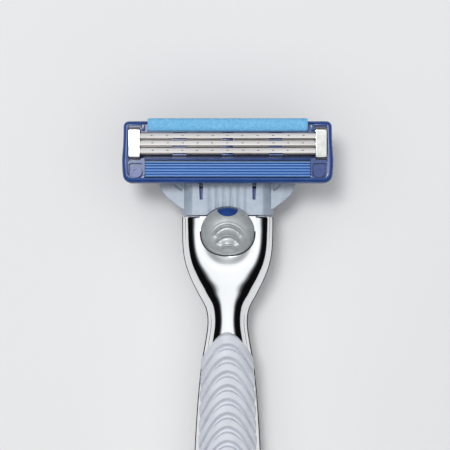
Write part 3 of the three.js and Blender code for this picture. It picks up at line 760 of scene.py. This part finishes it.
# the button's relief: each arc is a raised lip, with the face stepping down behind it
def buttonRelief(x, at):
    height = 0.0
    for ridge in ridges:
        middle = ridge["at"] + ridge["radius"]
        away = math.hypot(x, at - middle)
        turn = math.degrees(math.atan2(abs(x), middle - at))
        held = 1 - smoothStep(*(ridge["reach"] + step for step in arcShape["fade"]), turn)
        inside = ridge["radius"] - away
        lip = smoothStep(*arcShape["lipRise"], inside) * (1 - smoothStep(*arcShape["lipFall"], inside))
        drop = smoothStep(*arcShape["dropDown"], inside) * (1 - smoothStep(*arcShape["dropBack"], inside))
        height += held * ridge["step"] * (arcShape["lip"] * lip - arcShape["drop"] * drop)
    first = ridges[0]
    outer = first["radius"] + arcShape["outerLine"] - math.hypot(x, at - first["at"] - first["radius"])
    turn = math.degrees(math.atan2(abs(x), first["at"] + first["radius"] - at))
    line = math.exp(-((outer / arcShape["lineWidth"]) ** 2)) * (1 - smoothStep(*arcShape["lineReach"], turn))
    return height + arcShape["lineHeight"] * line


def domeHeight(share):
    outer, inner = button["domePowers"]
    return button["side"] + (button["high"] - button["side"]) * (1 - share**outer) ** inner


def capBody(name, grow=0.0):
    rings, sides = button["rings"], button["sides"]
    points, faces = [(0, fromHead(button["at"]), domeHeight(0) + buttonRelief(0, button["at"]))], []
    for i in range(1, rings + 1):
        share = math.sin(i / rings * math.pi / 2) if i < rings else 1.0
        for x, at in buttonOutline(share=share):
            points.append((x, fromHead(at), domeHeight(min(share, 1)) + buttonRelief(x, at) + grow))
    for z in (button["side"] - button["skirt"], button["low"]):
        points += [(x, fromHead(at), z) for x, at in buttonOutline()]
    for j in range(sides):
        faces.append((0, 1 + (j + 1) % sides, 1 + j))
    for i in range(rings + 1):
        for j in range(sides):
            k = (j + 1) % sides
            a, b = 1 + i * sides, 1 + (i + 1) * sides
            faces.append((a + j, a + k, b + k, b + j))
    last = 1 + (rings + 1) * sides
    faces.append(tuple(range(last, last + sides)))
    return newObject(name, points, faces)


# the inlay runs out over the button's edge, and its lower side is half an ellipse
def inlayOutline(margin):
    width, low = inlay["halfWidth"] + margin, inlay["low"] + margin
    lower = [(width * math.cos(a), inlay["shoulder"] + (low - inlay["shoulder"]) * math.sin(a))
             for a in [math.pi * i / 32 for i in range(33)]]
    return [(-width, inlay["top"]), (width, inlay["top"])] + lower


def makeButton():
    cap = combine(capBody("button"), [
        plate(inlayOutline(inlay["gap"]), inlay["floor"] - 0.05, clearTop),
        block(*button["stemSocket"]),
    ])
    hand(cap, "button_cap_moulding", "button", "button", ["button_cap"],
         weighted=False, sharp=34)
    insert = capBody("inlay", inlay["proud"])
    combine(insert, [plate(inlayOutline(0.0), inlay["floor"], clearTop)], "INTERSECT")
    hand(insert, "button_inlay_moulding", "inlay", "button", ["button_inlay"],
         weighted=False)
    print("button ready")


fork = {"inner": 3, "outer": 5.6, "low": 6.2, "high": 7.3, "tip": 17, "plate": (24.2, 26.4),
        "stem": ((-2.1, 2.1), (24.4, 26), (7.2, 14.2))}


def makeFork():
    tines = [block(sideRange(side, fork["inner"], fork["outer"]), (fork["tip"], fork["plate"][0] + 0.1),
                   (fork["low"], fork["high"])) for side in (-1, 1)]
    base = block((-fork["outer"], fork["outer"]), fork["plate"], (fork["low"], fork["high"]))
    shape = combine(base, tines + [block(*fork["stem"])], "UNION")
    soften(shape, 0.12, 2)
    hand(shape, "ejector_fork_moulding", "yoke", "button", ["ejector_fork"])


# a wire coil along the razor with closed, flattened ends
def coil(spec, name):
    steps, sides = round(spec["turns"] * 36), 10
    rings = []
    for i in range(steps + 1):
        share = i / steps
        ease = smoothStep(0.0, 1.0, share) * 0.35 + share * 0.65
        angle = math.tau * spec["turns"] * share
        at = spec["from"] + spec["wire"] + (spec["to"] - spec["from"] - 2 * spec["wire"]) * ease
        out = Vector((math.cos(angle), 0, math.sin(angle)))
        middle = Vector((0, fromHead(at), spec["z"])) + spec["radius"] * out
        along = Vector((0, 1, 0))
        rings.append([tuple(middle + out * a + along * b) for a, b in circle(spec["wire"], sides)])
    return ringSolid(name, rings)


buttonSpring = {"from": 19.82, "to": 24.28, "radius": 1.3, "wire": 0.14, "turns": 6, "z": 9.55}
plungerSpring = {"from": 15.42, "to": 18.38, "radius": 0.85, "wire": 0.11, "turns": 5, "z": 10.9}


def makeSprings():
    for spec, name, node, fixed, moving, ends in (
            (buttonSpring, "button_spring_coil", "button_spring", "handle", "button", ("from", "to")),
            (plungerSpring, "plunger_spring_coil", "plunger_spring", "connector", "plunger", ("to", "from"))):
        wire = coil(spec, name)
        wire.data.materials.append(finishes["spring"])
        smoothShade(wire, 60)
        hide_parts(node)
        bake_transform(wire)
    print("springs ready")


yoke = {
    "halfWidth": 9.45, "top": 12.3, "bottom": 18.86, "low": 4.9, "high": 13.3, "wingLow": 9.4,
    "corners": (0.5, 0.9), "edge": 0.09,
    "socket": ((-6.4, 6.4), (13.2, 20), (5.9, 11.9)), "barrel": ((-2.3, 2.3), (13.1, 18.7), (9.1, 12)),
    "notch": ((-1.7, 1.7), (11, 13.9), (8.9, 12.5)),
    "windows": ((4.87, 11.9), (5.78, 11.9), (5.55, 15.8), (4.96, 15.8)),
    "windowFloor": 10.9, "bores": ((12.9, 15.2, 0.95), (14.2, 18.5, 1.3)),
    "flank": ((6.6, 13.42), (7.25, 13.12), (7.9, 12.5), (8.5, 11.75), (9.0, 10.9), (9.55, 9.6)),
    "wingHigh": 11.4, "wingRoot": 8, "wingTip": 13.7, "wingEnd": 17.7, "wingRound": 0.8,
    "sweep": ((13.7, 12.5), (13.3, 14.9), (11.4, 16), (9.1, 17.7)),
    "dish": {"x": 8.2, "at": 11.2, "halfWidth": 3.1, "halfLength": 3.0, "depth": 0.5, "slope": 0.5},
    "flutePitch": 1.45, "fluteHalf": 0.56, "fluteFloor": 0.04, "fluteDepth": 0.2, "fluteSpan": (12.6, 18.3),
    "buttonGap": 0.2, "recessDepth": 0.9,
}
pivot = {"at": 11.2, "z": 12.9, "armInner": 12.2, "armOuter": 13.7, "armRadius": 1.25, "journal": 0.8,
         "journalOuter": 15.9}


def cubic(a, b, c, d, steps):
    points = []
    for i in range(steps + 1):
        t = i / steps
        weights = ((1 - t)**3, 3 * (1 - t)**2 * t, 3 * (1 - t) * t**2, t**3)
        points.append(tuple(sum(w * p[k] for w, p in zip(weights, (a, b, c, d))) for k in (0, 1)))
    return points


def yokeWing(side):
    outline = [(yoke["wingRoot"], yoke["top"]), (yoke["wingTip"], yoke["top"])]
    outline += cubic(*yoke["sweep"], 20) + [(yoke["wingRoot"], yoke["wingEnd"])]
    wing = plate([(side * x, at) for x, at in outline], yoke["wingLow"], yoke["wingHigh"])
    soften(wing, yoke["wingRound"], 6)
    return wing


# the dished inner corner of each shoulder, whose edge shows as a fine curved line
def yokeWingDish(side):
    dish, rings = yoke["dish"], []
    for grow, z in ((0.1 - dish["slope"], yoke["wingHigh"] - dish["depth"]), (0.1, yoke["wingHigh"] + 0.05)):
        outline = ellipse(dish["x"], dish["at"], dish["halfWidth"] + grow, dish["halfLength"] + grow, 60)[:13]
        outline.append((dish["x"] + 0.5, dish["at"] - 0.2))
        rings.append([(side * x, fromHead(at), z) for x, at in outline])
    return ringSolid("dish", rings)


def yokeArm(side):
    y = fromHead(pivot["at"])
    end = [(y + a, pivot["z"] + b) for a, b in circle(pivot["armRadius"], 36, -math.pi / 2)[:19]]
    foot = fromHead(yoke["top"] + 0.6)
    profile = end + [(foot, yoke["wingHigh"] - 0.1), (foot, yoke["wingLow"] + 0.1)]
    arm = bar(profile, *sideRange(side, pivot["armInner"], pivot["armOuter"]))
    reach = sideRange(side, pivot["armOuter"] - 0.1, pivot["journalOuter"])
    return [arm, rodAcross(*reach, pivot["at"], pivot["z"], pivot["journal"])]


# rounds the block's long edge, so that it drops away to the shoulder beside it
def yokeFlank(side):
    profile = list(yoke["flank"]) + [(yoke["flank"][-1][0], clearTop), (yoke["flank"][0][0], clearTop)]
    return ringSolid("flank", [[(side * x, fromHead(at), z) for x, z in profile] for at in (11, 20)])


def yokeFlute(x):
    high, half, floor = yoke["high"], yoke["fluteHalf"], yoke["fluteFloor"]
    low = high - yoke["fluteDepth"]
    profile = [(x - half, high + 0.02), (x - floor, low), (x + floor, low), (x + half, high + 0.02),
               (x + half, high + 1), (x - half, high + 1)]
    return ringSolid("flute", [[(a, fromHead(at), z) for a, z in profile] for at in yoke["fluteSpan"]])


def makeYoke():
    wide = yoke["halfWidth"]
    outline = roundedOutline(-wide, wide, yoke["top"], yoke["bottom"], yoke["corners"])
    body = plate(outline, yoke["low"], yoke["high"])
    combine(body, [yokeFlank(side) for side in (-1, 1)])
    combine(body, [yokeWing(side) for side in (-1, 1)], "UNION")
    for side in (-1, 1):
        combine(body, yokeArm(side), "UNION")
    combine(body, [block(*yoke["socket"])])
    combine(body, [block(*yoke["barrel"])], "UNION")
    windows = [plate([(side * x, at) for x, at in yoke["windows"]], yoke["windowFloor"], clearTop)
               for side in (-1, 1)]
    grooves = [yokeFlute(step * yoke["flutePitch"]) for step in (-2.5, -1.5, -0.5, 0.5, 1.5, 2.5)]
    combine(body, [
        block(*yoke["notch"]),
        *[rodAlong(start, end, plunger["z"], radius) for start, end, radius in yoke["bores"]],
        plate(buttonOutline(yoke["buttonGap"], 120), yoke["high"] - yoke["recessDepth"], clearTop),
    ] + windows + grooves + [yokeWingDish(side) for side in (-1, 1)])
    soften(body, yoke["edge"], 3)
    hand(body, "connector_moulding", "yoke", "connector", ["connector_yoke"])
    print("connector ready")


plunger = {"z": 10.9, "tip": 0.8, "tipAt": 12.45, "head": 1.15, "headFrom": 14.3, "headTo": 15.3}


def makePlunger():
    tip, head, start, end = plunger["tip"], plunger["head"], plunger["headFrom"], plunger["headTo"]
    rows = [(plunger["tipAt"] - tip * math.cos(a), tip * math.sin(a))
            for a in [math.radians(degrees) for degrees in (3, 15, 30, 45, 60, 75, 90)]]
    rows += [(start - 0.02, tip), (start, head - 0.1), (start + 0.1, head), (end - 0.1, head),
             (end, head - 0.1)]
    shape = ringSolid("plunger", [[(a, fromHead(at), plunger["z"] + b) for a, b in circle(radius, 40)]
                                  for at, radius in rows])
    hand(shape, "plunger_pin", "yoke", "plunger", ["plunger"], weighted=False)


housing = {
    "top": 0.47, "bottom": 12.64, "back": 13.6, "rim": 18.6,
    "wellHalf": 17.1, "wellTop": 2.7, "wellBottom": 7.8, "endHalf": 18.8, "endFloor": 15.4, "ribTop": 15.6,
    "ribs": ((-10.8, -8.1), (-1.07, 1.07), (8.1, 10.8)), "toothTop": 17.8,
    "stripLow": 16.82, "stripHalf": 15.73, "stripBottom": 2.58, "guardHalf": 16.23, "guardTop": 8.12,
    "guardBottom": 11.63, "guardLow": 17.22,
    "shoulder": 0.75, "shoulderDrop": 1.1, "crown": ((0.18, 0.01), (0.34, 0.045), (0.48, 0.1)),
    "side": 20.45, "swell": 0.3, "swellAt": 8.4, "swellSpread": 3.0, "topRadius": 1.1, "lowRadius": 1.75,
    "railAt": 6.95, "railTop": 14.6, "ear": {"range": (14.35, 16.3), "radius": 1.4, "root": 13.7},
    "stripPocket": ((15.6, 16.9), (1.0, 2.55), (17.6, clearTop)),
    "clipPocket": ((17, 19.5), (1.25, 8.45), (17.8, clearTop)),
    "cornerPocket": ((16.57, 19.38), (8.73, 11.62)), "cornerRadii": (0.45, 0.6), "cornerFloor": 17.5,
    "clipSlot": (17.08, 19.42), "slotsAt": ((1.6, 2.09), (7.66, 8.15)),
    "armRoom": ((11.9, 14.35), (9.6, 14), (12, 14.5)), "post": ((16.3, 16.75), (1.2, 2.35), (17.5, 18.5)),
    "boss": {"x": 17.9, "at": 10.45, "radius": 1.1, "top": 18.5, "hole": 0.59, "holeFloor": 18.25},
    "journalHole": ((13.35, 15.98), 0.9), "camLug": ((-1.4, 1.4), (10.6, 11.6), (9.9, 13.7)),
    "edge": 0.1, "tooth": {"gap": 0.06, "width": 0.4},
}
bladeStack = {
    "count": 3, "firstEdge": 3.8, "pitch": 1.455, "tilt": 22, "width": 1.0, "thick": 0.1, "halfWidth": 18.4,
    "edgeZ": 18.95, "weldPitch": 2.95, "weldReach": 16.6, "weldHalfLength": 0.24, "weldHalfWidth": 0.1,
    "weldRings": ((1.0, 0.002), (0.8, 0.03), (0.55, 0.012), (0.2, 0.004)),  # size and height above the face
}


# the head's outline: square shoulders in front, a slight swell and softer corners at the back
def headOutline(inset):
    topRadius = max(housing["topRadius"] - inset, 0.15)
    lowRadius = max(housing["lowRadius"] - 1.2 * inset, 0.25)
    top, low = housing["top"] + inset, housing["bottom"] - 1.4 * inset

    def side(at):
        share = (at - housing["swellAt"]) / housing["swellSpread"]
        return housing["side"] - inset + housing["swell"] * math.exp(-(share**2))

    points = []
    start, stop = top + topRadius, low - lowRadius
    for k in range(6):
        angle = math.radians(18 * k)
        points.append((side(start) - topRadius * (1 - math.sin(angle)), start - topRadius * math.cos(angle)))
    points += [(side(start + (stop - start) * k / 10), start + (stop - start) * k / 10) for k in range(11)]
    for k in range(1, 7):
        angle = math.radians(15 * k)
        points.append((side(stop) - lowRadius * (1 - math.cos(angle)), stop + lowRadius * math.sin(angle)))
    return points + [(-x, at) for x, at in reversed(points)]


# the housing's outside, whose rim turns over in a soft shoulder
def headShell():
    shoulder, fall = housing["shoulder"], housing["shoulderDrop"]
    rings = [(0.0, housing["back"])]
    rings += [(shoulder * (1 - math.cos(a)), housing["rim"] - fall + fall * math.sin(a))
              for a in [math.radians(15 * k) for k in range(7)]]
    rings += [(shoulder + further, housing["rim"] - drop) for further, drop in housing["crown"]]
    return ringSolid("shell", [[(x, fromHead(at), z) for x, at in headOutline(inset)] for inset, z in rings])


# a block given for the right-hand end, or its mirror image for the left
def endBlock(side, xs, ats, zs):
    return block(sideRange(side, *xs), ats, zs)


def headEndCuts(side):
    xs, ats = housing["cornerPocket"]
    corner = roundedOutline(*sideRange(side, *xs), *ats, housing["cornerRadii"], 4)
    return [
        endBlock(side, *housing["stripPocket"]),
        endBlock(side, *housing["clipPocket"]),
        plate(corner, housing["cornerFloor"], clearTop),
        *[endBlock(side, housing["clipSlot"], slot, (12, clearTop)) for slot in housing["slotsAt"]],
        endBlock(side, *housing["armRoom"]),
    ]


def headEndAdds(side):
    y, z = fromHead(pivot["at"]), pivot["z"]
    ear, boss = housing["ear"], housing["boss"]
    profile = [(y + a, z + b) for a, b in circle(ear["radius"], 36, math.pi)[:19]]
    profile += [(y + ear["radius"], ear["root"]), (y - ear["radius"], ear["root"])]
    disc = ellipse(side * boss["x"], boss["at"], boss["radius"], boss["radius"], 40)
    return [bar(profile, *sideRange(side, *ear["range"])),
            plate(disc, housing["cornerFloor"] - 0.1, boss["top"]), endBlock(side, *housing["post"])]


def headEndHoles(side):
    (inner, outer), radius = housing["journalHole"]
    boss = housing["boss"]
    dimple = ellipse(side * boss["x"], boss["at"], boss["hole"], boss["hole"], 28)
    return [rodAcross(*sideRange(side, inner, outer), pivot["at"], pivot["z"], radius),
            plate(dimple, boss["holeFloor"], clearTop)]


# a rib across the open middle, with a tooth that stands up behind each blade's edge
def headRibs():
    parts, tooth = [], housing["tooth"]
    ends = (housing["wellTop"] - 0.1, housing["wellBottom"] + 0.1)
    for rib in housing["ribs"]:
        parts.append(block(rib, ends, (housing["back"], housing["ribTop"])))
        for i in range(bladeStack["count"]):
            start = bladeStack["firstEdge"] + i * bladeStack["pitch"] + tooth["gap"]
            heights = (housing["ribTop"] - 0.1, housing["toothTop"])
            parts.append(block(rib, (start, start + tooth["width"]), heights))
    return parts


def makeHousing():
    shell = headShell()
    top, bottom = housing["wellTop"], housing["wellBottom"]
    recesses = [
        (housing["wellHalf"], top, housing["railAt"], 12),
        (housing["wellHalf"], top, bottom, housing["railTop"]),
        (housing["endHalf"], top, bottom, housing["endFloor"]),
        (housing["stripHalf"], -1, housing["stripBottom"], housing["stripLow"]),
        (housing["guardHalf"], housing["guardTop"], housing["guardBottom"], housing["guardLow"]),
    ]
    combine(shell, [block((-half, half), (start, end), (floor, clearTop))
                    for half, start, end, floor in recesses])
    combine(shell, headRibs(), "UNION")
    for side in (-1, 1):
        combine(shell, headEndCuts(side))
        combine(shell, headEndAdds(side), "UNION")
        combine(shell, headEndHoles(side))
    combine(shell, [block(*housing["camLug"])], "UNION")
    soften(shell, housing["edge"], 3)
    hand(shell, "cartridge_housing_moulding", "housing", "cartridge",
         ["cartridge_housing"])
    rail = [(fromHead(7.8) - 0.03, 18.4), (fromHead(8.09), 18.4)]
    ridge = [(fromHead(7.95) + 0.14 * math.cos(a), 18.56 + 0.16 * math.sin(a))
             for a in [math.pi * i / 8 for i in range(9)]]
    rim = bar(rail[::-1] + ridge[::-1], -16.3, 16.3, "rim")
    hand(rim, "guard_rim", "housing", "cartridge", weighted=False)
    print("housing ready")


strip = {
    "halfWidth": 15.65, "top": 0.0, "bottom": 2.5, "low": 16.9, "high": 19.4, "crown": 0.35, "columns": 150,
    "rows": 26, "wear": 0.12, "wearReach": 0.3, "swell": 0.035, "back": 0.55,
}


# a pressed bar with a crowned, slightly uneven top and worn edges
def makeStrip():
    rings = []
    columns = strip["columns"]
    for i in range(columns + 1):
        x = -strip["halfWidth"] + 2 * strip["halfWidth"] * i / columns
        tuck = strip["wear"] * (1 - smoothStep(0, strip["wearReach"], strip["halfWidth"] - abs(x)))
        ring = [(x, fromHead(strip["bottom"] - tuck), strip["low"])]
        for j in range(strip["rows"] + 1):
            share = 2 * j / strip["rows"] - 1
            swell = strip["swell"] * math.sin(x * 1.9 + share * 2.3) * math.sin(x * 0.67 + 1.1)
            at = strip["bottom"] + (strip["top"] - strip["bottom"]) * (share + 1) / 2
            at += tuck * (-1 if share < 0 else 1)
            drop = strip["crown"] * abs(share) ** 2.6 + 0.16 * smoothStep(0.86, 1.0, abs(share))
            z = strip["high"] - drop - tuck * 1.4 + swell * (1 - abs(share)) - 0.04
            ring.append((x, fromHead(at), z))
        ring += [(x, fromHead(strip["top"] + tuck), 17.85), (x, fromHead(strip["back"]), 17.5),
                 (x, fromHead(strip["back"]), strip["low"])]
        rings.append(ring)
    shape = ringSolid("strip", rings)
    hand(shape, "lubricating_strip_bar", "strip", "cartridge", ["lubricating_strip"],
         weighted=False, sharp=50)


guard = {
    "halfWidth": 16.15, "top": 8.42, "bottom": 11.55, "low": 17.3, "pitch": 0.555, "lastFin": 9.04,
    "fin": ((0.0, 0.05), (0.14, 0.62), (0.2, 0.88), (0.25, 0.99), (0.3, 1.0), (0.34, 0.9), (0.37, 0.5),
            (0.4, 0.08), (0.46, 0.0)),  # how far across it, and the share of its height
}


# soft fins in rows: each is a thin rounded wall that leans a little towards the blades
def makeGuard():
    base, high = guardHeights
    profile = [(fromHead(guard["bottom"]), guard["low"])]
    at = guard["bottom"] - 0.04
    while at > guard["lastFin"]:
        profile += [(fromHead(at - across), base + (high - base) * rise) for across, rise in guard["fin"]]
        at -= guard["pitch"]
    profile += [(fromHead(guard["top"] + 0.2), high), (fromHead(guard["top"] + 0.06), high - 0.06),
                (fromHead(guard["top"]), base), (fromHead(guard["top"]), guard["low"])]
    shape = bar(profile, -guard["halfWidth"], guard["halfWidth"], "guard")
    hand(shape, "guard_fins_moulding", "fins", "cartridge", ["guard_fins"],
         weighted=False, sharp=75)


clip = {"inner": 17.2, "outer": 19.3, "top": 1.72, "bottom": 8.03, "low": 13.22, "high": 19.3, "thick": 0.25,
        "foot": 0.85, "bend": 0.75}


# a band bent over the head's end: the profile runs round the outside, then back along the inside
def makeClips():
    outer, inner = [], []
    for at, z, turn in ((clip["top"], clip["high"], 180), (clip["bottom"], clip["high"], 90)):
        radius = clip["bend"]
        middleAt = at + radius if turn == 180 else at - radius
        for angle in [math.radians(turn - 15 * k) for k in range(7)]:
            for points, bend in ((outer, radius), (inner, radius - clip["thick"])):
                y = fromHead(middleAt) - bend * math.cos(angle)
                points.append((y, z - radius + bend * math.sin(angle)))
    frontY, backY = fromHead(clip["top"]), fromHead(clip["bottom"])
    low, thick, foot = clip["low"], clip["thick"], clip["foot"]
    outer = [(frontY - foot, low), (frontY, low)] + outer + [(backY, low), (backY + foot, low)]
    inner = ([(frontY - foot, low + thick), (frontY - thick, low + thick)] + inner
             + [(backY + thick, low + thick), (backY + foot, low + thick)])
    profile = outer + inner[::-1]
    for side, name in ((-1, "clip_left"), (1, "clip_right")):
        shape = bar(profile, *sideRange(side, clip["inner"], clip["outer"]), name)
        soften(shape, 0.05, 2)
        hand(shape, name + "_band", "clip", "cartridge", [name])


def inBlade(edgeY, along, above):
    tilt = math.radians(bladeStack["tilt"])
    return (edgeY + along * math.cos(tilt) + above * math.sin(tilt),
            bladeStack["edgeZ"] - along * math.sin(tilt) + above * math.cos(tilt))


def makeBlade(index):
    edgeY = fromHead(bladeStack["firstEdge"] + index * bladeStack["pitch"])
    width, thick, half = bladeStack["width"], bladeStack["thick"], bladeStack["halfWidth"]
    section = ((0, -0.045), (0.05, -0.012), (0.2, 0), (width - 0.05, 0), (width, -0.03), (width, -thick),
               (0.3, -thick), (0.12, -0.075))
    shape = bar([inBlade(edgeY, *point) for point in section], -half, half, "blade")
    shape.data.materials.append(finishes["blade"])
    shape.data.materials.append(finishes["weld"])
    addWelds(shape, edgeY)
    name = f"blade_{index + 1}"
    hand(shape, name + "_strip", "blade", name, [name], weighted=False, sharp=8)


# spot welds: small oval craters with a raised lip, standing a hair above the blade's face
def addWelds(shape, edgeY):
    work = bmesh.new()
    work.from_mesh(shape.data)
    reach = math.floor(bladeStack["weldReach"] / bladeStack["weldPitch"])
    for k in range(-reach, reach + 1):
        middle = k * bladeStack["weldPitch"] + 0.1 * math.sin(5.3 * k + edgeY)
        rings = []
        for size, height in bladeStack["weldRings"]:
            ring = []
            for a, b in circle(size, 16):
                y, z = inBlade(edgeY, bladeStack["width"] / 2 + bladeStack["weldHalfWidth"] * b, height)
                x = middle + bladeStack["weldHalfLength"] * a
                ring.append(work.verts.new((x * mm, y * mm, z * mm)))
            rings.append(ring)
        for lower, upper in zip(rings, rings[1:]):
            for i in range(16):
                face = work.faces.new((lower[i], lower[(i + 1) % 16], upper[(i + 1) % 16], upper[i]))
                face.material_index = 1
        work.faces.new(rings[-1]).material_index = 1
        work.faces.new(rings[0][::-1]).material_index = 1
    work.to_mesh(shape.data)
    work.free()


def makeSupport(index):
    edgeY = fromHead(bladeStack["firstEdge"] + index * bladeStack["pitch"])
    edgeZ, half = bladeStack["edgeZ"], bladeStack["halfWidth"]
    ledge = -bladeStack["thick"] - 0.02
    turn = [(edgeY - 0.02, edgeZ - 0.5), (edgeY - 0.1, edgeZ - 0.57), (edgeY - 0.26, edgeZ - 0.58),
            (edgeY - 0.33, edgeZ - 0.62), (edgeY - 0.35, edgeZ - 0.72), (edgeY - 0.35, edgeZ - 2.3)]
    back = [(edgeY - 0.15, edgeZ - 2.3), (edgeY - 0.15, edgeZ - 0.78), (edgeY + 0.12, edgeZ - 0.68)]
    profile = ([inBlade(edgeY, 0.95, ledge), inBlade(edgeY, 0.18, ledge)] + turn + back
               + [inBlade(edgeY, 0.28, ledge - 0.2), inBlade(edgeY, 0.95, ledge - 0.2)])
    shape = bar(profile, -half, half, "support")
    notch = [(edgeY - 1, 15), (edgeY - 0.03, 15), (edgeY - 0.03, 20), (edgeY - 1, 20)]
    combine(shape, [bar(notch, left - 0.12, right + 0.12) for left, right in housing["ribs"]])
    name = f"blade_{index + 1}"
    node = f"blade_support_{index + 1}"
    hand(shape, node + "_bar", "support", name, [node], weighted=False, sharp=20)


makeHandle()
makeNose()
makeButton()
makeFork()
makeSprings()
makeYoke()
makePlunger()
makeHousing()
makeStrip()
makeGuard()
makeClips()
for bladeIndex in range(bladeStack["count"]):
    makeBlade(bladeIndex)
    makeSupport(bladeIndex)
print("head ready")
